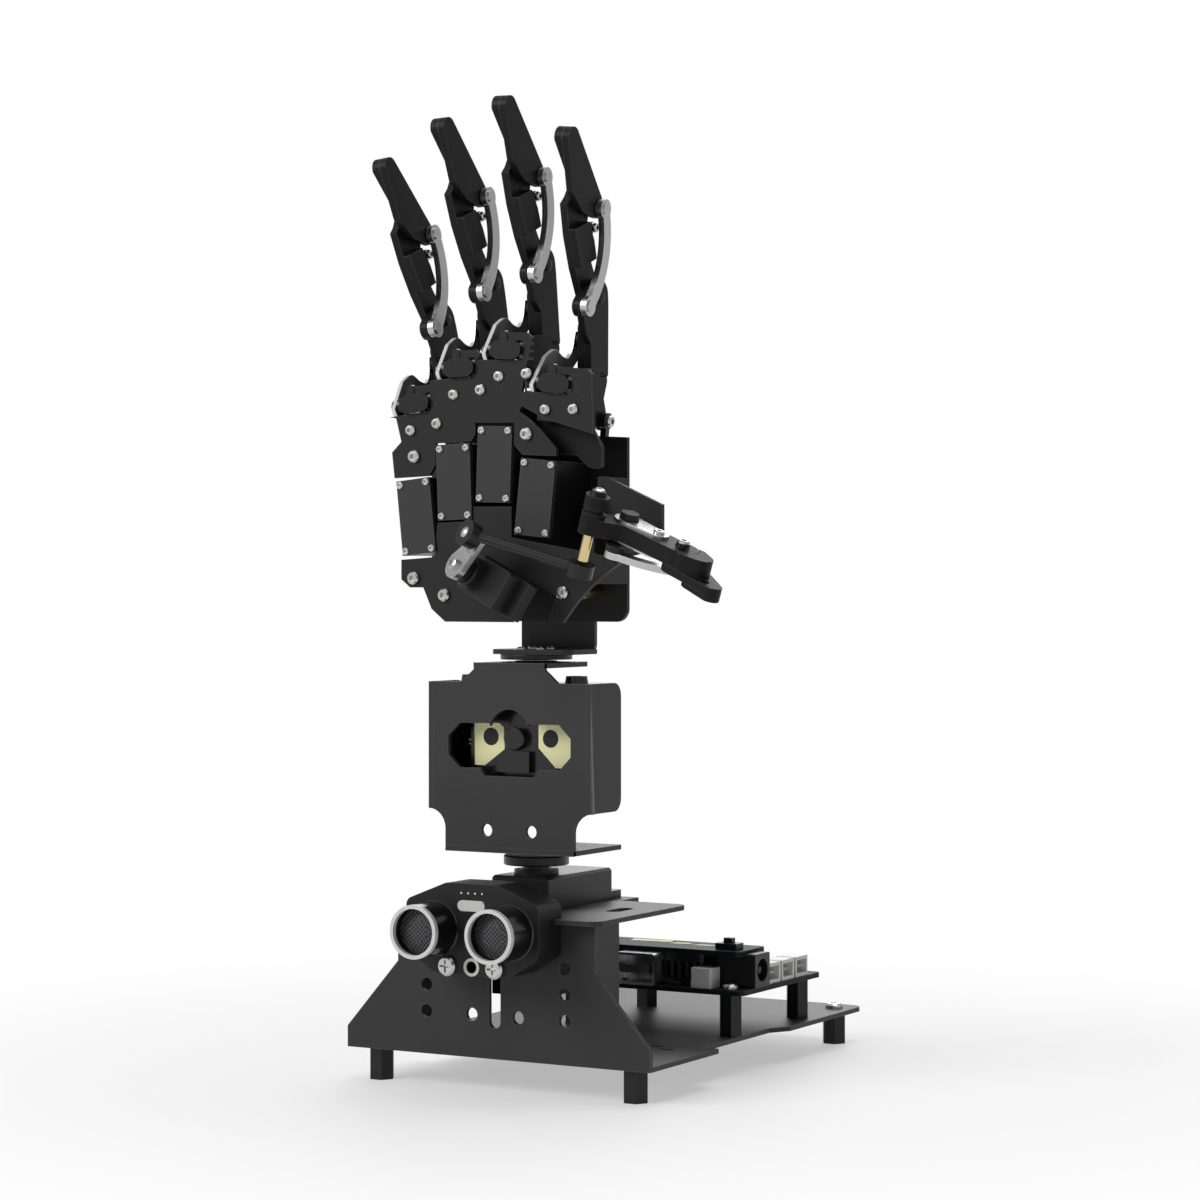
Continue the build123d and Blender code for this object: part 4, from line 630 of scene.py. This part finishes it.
palmScrewSet = dict(
    plateHead=(2.0, 1.3),
    plateAt=((-34.0, 153.8), (-22.9, 148.6), (18.9, 149.4), (-33.8, 191.0), (6.3, 197.0)),
    coverHead=(1.15, 0.7), coverFront=-66.6, coverX=4.7, coverZ=10.2,
    rowHead=(1.7, 1.1), rowAt=((0.6, 26.6), (10.2, 27.4)),
    discHead=(1.5, 1.1), discTop=131.8, discCircle=4.6)
heads = [socketHead(shifted(palmFront, x, z), *palmScrewSet["plateHead"]) for x, z in palmScrewSet["plateAt"]]
for finger in fingers:
    cover = fingerFace(finger, palmScrewSet["coverFront"])
    row = fingerFace(finger, plateSet["front"])
    heads += [socketHead(shifted(cover, x * palmScrewSet["coverX"], z * palmScrewSet["coverZ"]),
                         *palmScrewSet["coverHead"]) for x in (-1, 1) for z in (-1, 1)]
    heads += [socketHead(shifted(row, x, z), *palmScrewSet["rowHead"]) for x, z in palmScrewSet["rowAt"]]
disc = shifted(levelFace(palmScrewSet["discTop"]), 0, turnY)
for angle in np.radians([45, 135, 225, 315]):
    x, y = palmScrewSet["discCircle"] * np.array([math.cos(angle), math.sin(angle)])
    heads.append(socketHead(shifted(disc, x, y), *palmScrewSet["discHead"], lobes=4))
makePiece("palmScrews", heads, "hand", ["steel"], ["hand_screws"], smooth=True)
print("stage: palm")

# Thumb servo, cap and screws

thumbSet = dict(hub=(-9.5, -80.0, 157.7), hubAxis=(-0.35, -0.85, 0.40), servoLong=(0.83, -0.48, -0.29),
                pivot=(44.0, -72.0, 168.0), along=(0.90, -0.16, -0.38), up=(0.34, -0.14, 0.93))
hubPlace = slantPlace(thumbSet["hub"], thumbSet["servoLong"], thumbSet["hubAxis"])
thumbPlace = slantPlace(thumbSet["pivot"], thumbSet["along"], thumbSet["up"])
thumbCase = [plate(softLoop([(-5.9, -6), (17.1, -6), (17.1, 6), (-5.9, 6)], 0.8), -18.0, -7.0, hubPlace),
             plate(boxLoop(5.6, 0, 31, 11.6), -13.8, -12.0, hubPlace),
             turned([(0, -7), (5, -7), (5, -4.2), (4.4, -3.8), (3, -3.8), (3, -1.6), (0, -1.6)], hubPlace)]
makePiece("thumbServoCase", thumbCase, "hand", ["blackCase"], ["thumb_servo"], edge=0.4)
swingHeads = [socketHead(shifted(thumbPlace, 12.0, 0, 3.3), 1.7, 0.9),
              socketHead(shifted(thumbPlace, -5.6, -9.6, 10.6), 1.6, 0.6)]
tipHead = socketHead(shifted(thumbPlace, 21.5, 0, 3.9), 1.9, 0.9)
makePiece("thumbScrews", swingHeads, "thumb_base_body", ["steel"], smooth=True)
makePiece("thumbTipScrew", [tipHead], "thumb_tip_body", ["steel"], smooth=True)
armHead = socketHead(shifted(hubPlace, 0, 0, 1.6), 1.9, 0.7, lobes=4)
makePiece("thumbArmScrew", [armHead], "thumb_arm_body", ["steel"], smooth=True)
for finger in fingers:
    y, z = yokeSet["knuckle"]
    lever = limbPlace(finger, y + yokeSet["lever"][0], z + yokeSet["lever"][1], 0)
    rodHead = socketHead(shifted(lever, 0, 0, 7.4), 1.9, 1.4)
    makePiece(finger + "RodScrew", [rodHead], finger + "_rod_body", ["steel"], smooth=True)
print("stage: thumb and rods")

# Distance sensor: barrels with dark mesh faces, rim ring, dots and cross screws

sensorSet = dict(front=-87.0, barrelX=13.0, barrelZ=49.7, screwX=8.2, screwZ=38.9, dotZ=60.7, dotRound=0.32,
                 dots=(-3.6, -1.2, 1.2, 3.6))
sensorFace = frontFace(sensorSet["front"])
barrelProfile = [(0, 7.6), (6.9, 7.6), (6.9, 10.4), (8.0, 10.4), (8.0, 0.4), (8.4, 0), (0, 0)]
meshProfile = [(0, 9.2), (3.0, 9.1), (4.6, 8.6), (6.8, 8.2), (6.8, 7.7), (0, 7.7)]
barrels, meshes = [], []
for x in (-sensorSet["barrelX"], sensorSet["barrelX"]):
    at = shifted(sensorFace, x, sensorSet["barrelZ"])
    barrels.append(turned(barrelProfile, at, 48))
    meshes.append(turned(meshProfile, at, 48))
makePiece("sensorBarrelShells", barrels, "base", ["glossCase"], ["sensor_barrels"], smooth=True)
makePiece("sensorMeshFaces", meshes, "base", ["sensorMesh"], smooth=True)
rimProfile = [(1.8, 0), (2.7, 0), (2.7, 0.25), (1.8, 0.25), (1.8, 0)]
rim = turned(rimProfile, shifted(sensorFace, 0, sensorSet["screwZ"]), 32)
dots = [plate(ringLoop(x, sensorSet["dotZ"], sensorSet["dotRound"], 12), -decalThick, decalThick, sensorFace)
        for x in sensorSet["dots"]]
makePiece("sensorPrint", [rim] + dots, "base", ["whitePlastic"])

# head radius and height, the level that it sits on, and the places of each group of the stand's screws
standScrewSet = dict(
    feet=((2.8, 1.6), 11.5, (-44.6, 44.6), (-67.6, 67.6)),
    boards=((2.5, 1.5), 26.1, (-12.0, 43.6), (-5.0, 42.0)),
    servoEars=((2.2, 1.4), 56.0, (-5, 5), (-63.7, -16.3)))
baseHeads = [socketHead(shifted(sensorFace, x, sensorSet["screwZ"]), 3.0, 1.8, lobes=4)
             for x in (-sensorSet["screwX"], sensorSet["screwX"])]
for head, level, xs, ys in standScrewSet.values():
    baseHeads += [socketHead(shifted(levelFace(level), x, y), *head, lobes=4) for x in xs for y in ys]
makePiece("standScrews", baseHeads, "base", ["steel"], ["base_screws"], smooth=True)

# Servo deck, cut short on the left where the sensor hides it

deckOutline = softLoop([(-31, -74), (-23.3, -74), (23.3, -74), (23.3, -79), (38, -79), (38, -22), (14, -22),
                        (14, -10.5), (-14, -10.5), (-14, -22), (-31, -22)], [0, 0, 0, 0, 4, 4, 0, 0, 0, 0, 0])
deckHoles = [boxLoop(0, -40.0, 20.6, 40.6), hullLoop((27, -49.5, 2.5), (27, -42.5, 2.5))]
deckParts = [plate([deckOutline] + deckHoles, 0, 1.5, levelFace(52.0))]
deckParts += [plate(boxLoop(-66.0, 31.75, 13.0, 40.5), 0, 1.5, sideFace(x)) for x in (33.0, -31.0)]
makePiece("deckSheet", deckParts, "base", ["blackSheet"], ["servo_deck"], edge=0.2)
print("stage: sensor and deck")

# Forearm sheet with its window and flanges, and the servo inside

forearmSet = dict(front=-66.0, half=28.5, shoulder=83.6, footHalf=22.6, foot=70.9, footRise=77.7, top=122.3,
                  tabTop=128.2, tabHalf=12.5, tabRear=-38.7, flange=18.4, sheet=1.5, screwX=7.8, screwZ=77.6)
front, sheet, top = forearmSet["front"], forearmSet["sheet"], forearmSet["top"]
half, footHalf, tabHalf = forearmSet["half"], forearmSet["footHalf"], forearmSet["tabHalf"]
quarter = np.radians(np.linspace(0, 90, 9))
sweep = half - footHalf
shoulder = forearmSet["shoulder"]
arc = np.stack([-half + sweep * np.cos(quarter), shoulder - sweep + sweep * np.sin(quarter)], axis=1)
leftEdge = np.concatenate([[(-footHalf, forearmSet["foot"]), (-footHalf, forearmSet["footRise"])], arc,
                           [(-half, top), (-17.0, top), (-tabHalf, 126.2), (-tabHalf, forearmSet["tabTop"])]])
bracketOutline = np.concatenate([leftEdge, leftEdge[::-1] * (-1, 1)])
windowLeft = [(-8.5, 94.0), (-10.5, 96.3), (-17.5, 96.3), (-21.5, 100.3), (-21.5, 105.9), (-17.5, 109.9),
              (-6.75, 109.9)]
crown = np.radians(np.linspace(164.6, 15.4, 15))
crownArc = np.stack([7.0 * np.cos(crown), 107.2 + 7.0 * np.sin(crown)], axis=1)
window = np.concatenate([windowLeft, crownArc, np.array(windowLeft[::-1]) * (-1, 1)])
bracketHoles = [window]
bracketHoles += [ringLoop(side * forearmSet["screwX"], forearmSet["screwZ"], 1.9) for side in (-1, 1)]
rear = front + forearmSet["flange"]
flange = softLoop([(front, shoulder), (rear, shoulder), (rear, top), (front, top)], [0, 4.0, 4.0, 0])
tab = softLoop([(-tabHalf, front), (tabHalf, front), (tabHalf, forearmSet["tabRear"]),
                (-tabHalf, forearmSet["tabRear"])], [0, 0, 2, 2])
foot = boxLoop(0, front + 14.5, 2 * footHalf, 29.0)
forearmParts = [plate([bracketOutline] + bracketHoles, -sheet, 0, frontFace(front)),
                plate(flange, 0, sheet, sideFace(half - sheet)), plate(flange, 0, sheet, sideFace(-half)),
                plate([tab, ringLoop(0, turnY, 7.1)], 0, sheet, levelFace(forearmSet["tabTop"] - sheet)),
                plate(foot, 0, sheet, levelFace(forearmSet["foot"]))]
makePiece("forearmSheet", forearmParts, "forearm", ["blackSheet"], ["forearm_bracket"], edge=0.2)

servoFace = frontFace(-59.7)
discFace = levelFace(126.6)
caseOutline = softLoop([(-17.3, 89.7), (22.7, 89.7), (22.7, 121.9), (-17.3, 121.9)], 0.8)
capOutline = softLoop([(-11, 121.5), (1, 121.5), (1, 126.4), (-11, 126.4)], 0.6)
shaftBoss = [(0, 0), (6.8, 0), (6.8, 1.7), (6.2, 2.0), (0, 2.0)]
windowBoss = [(0, 0), (3.6, 0), (3.6, 2.3), (3.3, 2.6), (0, 2.6)]
lugProfile = [(0, 0), (3.9, 0), (3.2, 4.2), (2.2, 4.2), (2.2, 3.2), (0, 3.2)]
wristCase = [plate(caseOutline, -20.0, 0, servoFace),
             plate(boxLoop(0, 118.6, 53.4, 2.5), -12.0, -0.6, servoFace),
             plate(capOutline, -9.0, -1.5, servoFace),
             turned(shaftBoss, shifted(discFace, 0, turnY), 40),
             turned(windowBoss, shifted(servoFace, -0.6, 105.3), 36),
             plate([(-8.5, 95), (4.5, 95), (4.5, 101.4), (-3.2, 101.4)], 0, 2.0, servoFace),
             plate(boxLoop(-21.9, 103.1, 9.0, 22.0), -13.0, -4.0, servoFace)]
wristCase += [turned(lugProfile, shifted(levelFace(120.0), x, turnY - 4.0), 24) for x in (-20.5, 16.5)]
makePiece("wristServoCase", wristCase, "forearm", ["glossCase"], ["wrist_servo"], edge=0.3)
labelLeft = [(-16.0, 109.7), (-7.1, 109.7), (-5.5, 108.4), (-5.2, 101.9), (-12.2, 96.8), (-15.8, 96.8)]
labelRight = [(6.8, 109.5), (16.0, 109.8), (18.0, 107.7), (18.0, 97.9), (16.0, 96.6), (12.8, 96.6),
              (6.8, 102.5)]
labels = [plate(softLoop(loop, 0.3), 0, 0.12, servoFace) for loop in (labelLeft, labelRight)]
makePiece("servoLabels", labels, "forearm", ["labelFilm"])
discs = [plate(ringLoop(x, z, 2.7), 0.12, 0.18, servoFace) for x, z in ((-10.0, 105.6), (11.0, 105.4))]
pins = [plate(boxLoop(-19.6, z, 1.5, 0.5), -4.0, -3.6, servoFace) for z in (103.0, 104.2)]
makePiece("servoMarks", discs, "forearm", ["blackCase"])
makePiece("servoPins", pins, "forearm", ["labelFilm"])
print("stage: forearm")

# Stacked boards: chips, pins and plain marks

boardSet = dict(low=24.5, top=26.1, shieldLow=36.1, shieldTop=37.7, screwXs=(-12.0, 43.6),
                screwYs=(-5.0, 42.0), hole=1.6, pinPitch=2.54, pins=17, pinStart=-8.0,
                rowX=12.0, rowLong=42.0, rowWide=2.5, frontRow=-4.0, rearRow=10.6, buttonXs=(-4.0, 40.6))
boardTop, shieldLow, shieldTop = boardSet["top"], boardSet["shieldLow"], boardSet["shieldTop"]
ground = levelFace(0)
lower = softLoop([(-18.6, -9.6), (50.0, -9.6), (50.0, 46.6), (-18.6, 46.6)], 2.0)
boardHoles = [ringLoop(x, y, boardSet["hole"], 20) for x in boardSet["screwXs"] for y in boardSet["screwYs"]]
makePiece("lowerBoard", [plate([lower] + boardHoles, boardSet["low"], boardTop, ground)], "base", ["board"],
          ["controller_board"])
# x, y, length, width and height of each chip
chips = [(14, 20, 14, 14, 1.6), (-6, 24, 6, 6, 6.0), (30, 26, 6, 10, 1.4), (2, 30, 4, 4, 1.2),
         (25, 8, 3, 5, 1.2), (22, 38, 12, 3, 5.0), (6, -6.6, 3.4, 2.2, 1.2), (25, -7.0, 4.0, 1.8, 1.2)]
chipParts = [plate(boxLoop(x, y, a, b), boardTop, boardTop + h, ground) for x, y, a, b, h in chips]
makePiece("lowerChips", chipParts, "base", ["blackCase"], edge=0.2)
whiteBox = softLoop([(31.7, -9.2), (38.7, -9.2), (38.7, -2.4), (31.7, -2.4)], 0.5)
makePiece("whiteHeaderBox", [plate(whiteBox, boardTop, boardTop + 6.2, ground)], "base", ["whitePlastic"],
          edge=0.3)
upper = softLoop([(-12, -6), (47.0, -6), (47.0, 12.5), (-12, 12.5)], 1.5)
makePiece("upperBoard", [plate(upper, shieldLow, shieldTop, ground)], "base", ["board"], ["shield_board"])
frontRow = boxLoop(boardSet["rowX"], boardSet["frontRow"], boardSet["rowLong"], boardSet["rowWide"])
rearRow = boxLoop(boardSet["rowX"], boardSet["rearRow"], boardSet["rowLong"], boardSet["rowWide"])
stack = [plate(frontRow, shieldLow - 2.6, shieldLow, ground),
         plate(frontRow, boardTop, boardTop + 2.0, ground),
         plate(rearRow, boardTop, shieldLow, ground)]
for k in range(boardSet["pins"]):
    pin = boxLoop(boardSet["pinStart"] + boardSet["pinPitch"] * k, boardSet["frontRow"], 0.9, 0.9)
    stack.append(plate(pin, boardTop + 1.9, shieldLow - 2.5, ground))
for x in boardSet["buttonXs"]:
    stack += [plate(boxLoop(x, 0.0, 7.5, 5.0), shieldTop, shieldTop + 2.0, ground),
              plate(boxLoop(x, 0.0, 3.0, 2.4), shieldTop + 2.0, shieldTop + 3.6, ground)]
makePiece("boardStack", stack, "base", ["blackCase"], edge=0.15)
marks = [[(2, 6), (16, 7), (15, 11), (1, 10)], [(17, 4), (24, 5), (23.4, 8), (18, 7.5)],
         [(25, 3), (33, 4), (32, 6.4), (27, 6)]]
makePiece("boardMarks", [plate(loop, shieldTop, shieldTop + 0.08, ground) for loop in marks], "base",
          ["labelFilm"])
print("stage: boards")

# Camera at the photograph's angle: level, a little below the palm, from the right of the front

cameraSet = dict(place=(0.4889, -0.8680, 0.1539), turn=29.69, focal=3119.7, frameWidth=1200,
                 horizonRow=577.67)
cameraData = bpy.data.cameras.new("camera")
cameraData.sensor_width = 36.0
cameraData.lens = cameraSet["focal"] / cameraSet["frameWidth"] * cameraData.sensor_width
cameraData.shift_y = (cameraSet["horizonRow"] - cameraSet["frameWidth"] / 2) / cameraSet["frameWidth"]
cameraData.clip_end = 50.0
camera = bpy.data.objects.new("camera", cameraData)
camera.location = cameraSet["place"]
camera.rotation_euler = (math.radians(90), 0, math.radians(cameraSet["turn"]))
bpy.context.scene.collection.objects.link(camera)
bpy.context.scene.camera = camera

# Pale floor, soft lamps and a white surround

lampSet = [
    dict(name="keyLamp", place=(-0.75, -1.15, 0.95), aim=(0, -0.03, 0.17), size=0.9, power=14.0),
    dict(name="fillLamp", place=(1.5, -0.9, 0.55), aim=(0, -0.03, 0.16), size=1.2, power=0.5),
    dict(name="topLamp", place=(0.1, 0.3, 1.5), aim=(0, -0.03, 0.15), size=1.1, power=9.0),
    dict(name="backLamp", place=(-0.5, 1.3, 0.7), aim=(0, -0.03, 0.16), size=0.9, power=6.0),
]
for lamp in lampSet:
    lampData = bpy.data.lights.new(lamp["name"], "AREA")
    lampData.shape = "DISK"
    lampData.size = lamp["size"]
    lampData.energy = lamp["power"]
    lampObject = bpy.data.objects.new(lamp["name"], lampData)
    lampObject.location = lamp["place"]
    direction = Vector(lamp["aim"]) - Vector(lamp["place"])
    lampObject.rotation_euler = direction.to_track_quat("-Z", "Y").to_euler()
    bpy.context.scene.collection.objects.link(lampObject)

world = bpy.data.worlds.new("surround")
bpy.context.scene.world = world
world.use_nodes = True
worldTree = world.node_tree
background = worldTree.nodes["Background"]
background.inputs["Color"].default_value = (1, 1, 1, 1)
rays = worldTree.nodes.new("ShaderNodeLightPath")
seen = mathNode(worldTree, "MAXIMUM", rays.outputs["Is Camera Ray"], rays.outputs["Is Transmission Ray"])
gloss = mathNode(worldTree, "MULTIPLY", rays.outputs["Is Glossy Ray"], 0.55)
white = mathNode(worldTree, "MAXIMUM", seen, gloss)
ambient = mathNode(worldTree, "MAXIMUM", white, 0.10)
worldTree.links.new(ambient, background.inputs["Strength"])


def floorMaterial():
    # pale near the object, fading to the white surround with distance
    material = bpy.data.materials.new("floorPaper")
    material.use_nodes = True
    tree = material.node_tree
    shader = tree.nodes["Principled BSDF"]
    shader.inputs["Base Color"].default_value = (0.90, 0.90, 0.90, 1)
    shader.inputs["Roughness"].default_value = 0.65
    coords = tree.nodes.new("ShaderNodeTexCoord")
    reach = tree.nodes.new("ShaderNodeVectorMath")
    reach.operation = "LENGTH"
    tree.links.new(coords.outputs["Object"], reach.inputs[0])
    ramp = tree.nodes.new("ShaderNodeMapRange")
    ramp.inputs["From Min"].default_value = 0.04
    ramp.inputs["From Max"].default_value = 0.34
    ramp.inputs["To Min"].default_value = 0.45
    ramp.interpolation_type = "SMOOTHSTEP"
    tree.links.new(reach.outputs["Value"], ramp.inputs["Value"])
    path = tree.nodes.new("ShaderNodeLightPath")
    visible = mathNode(tree, "MAXIMUM", path.outputs["Is Camera Ray"], path.outputs["Is Glossy Ray"])
    amount = mathNode(tree, "MULTIPLY", ramp.outputs["Result"], visible)
    glow = tree.nodes.new("ShaderNodeEmission")
    glow.inputs["Color"].default_value = (1, 1, 1, 1)
    blendShader = tree.nodes.new("ShaderNodeMixShader")
    tree.links.new(amount, blendShader.inputs["Fac"])
    tree.links.new(shader.outputs[0], blendShader.inputs[1])
    tree.links.new(glow.outputs[0], blendShader.inputs[2])
    tree.links.new(blendShader.outputs[0], tree.nodes["Material Output"].inputs["Surface"])
    return material


floorHalf = 12.0
floorMesh = bpy.data.meshes.new("floor")
floorCorners = [(x * floorHalf, y * floorHalf, 0) for x, y in ((-1, -1), (1, -1), (1, 1), (-1, 1))]
floorMesh.from_pydata(floorCorners, [], [(0, 1, 2, 3)])
floor = bpy.data.objects.new("floor", floorMesh)
floorMesh.materials.append(floorMaterial())
bpy.context.scene.collection.objects.link(floor)

bpy.context.scene.view_settings.view_transform = "Standard"
print("stage: camera, lamps and floor")
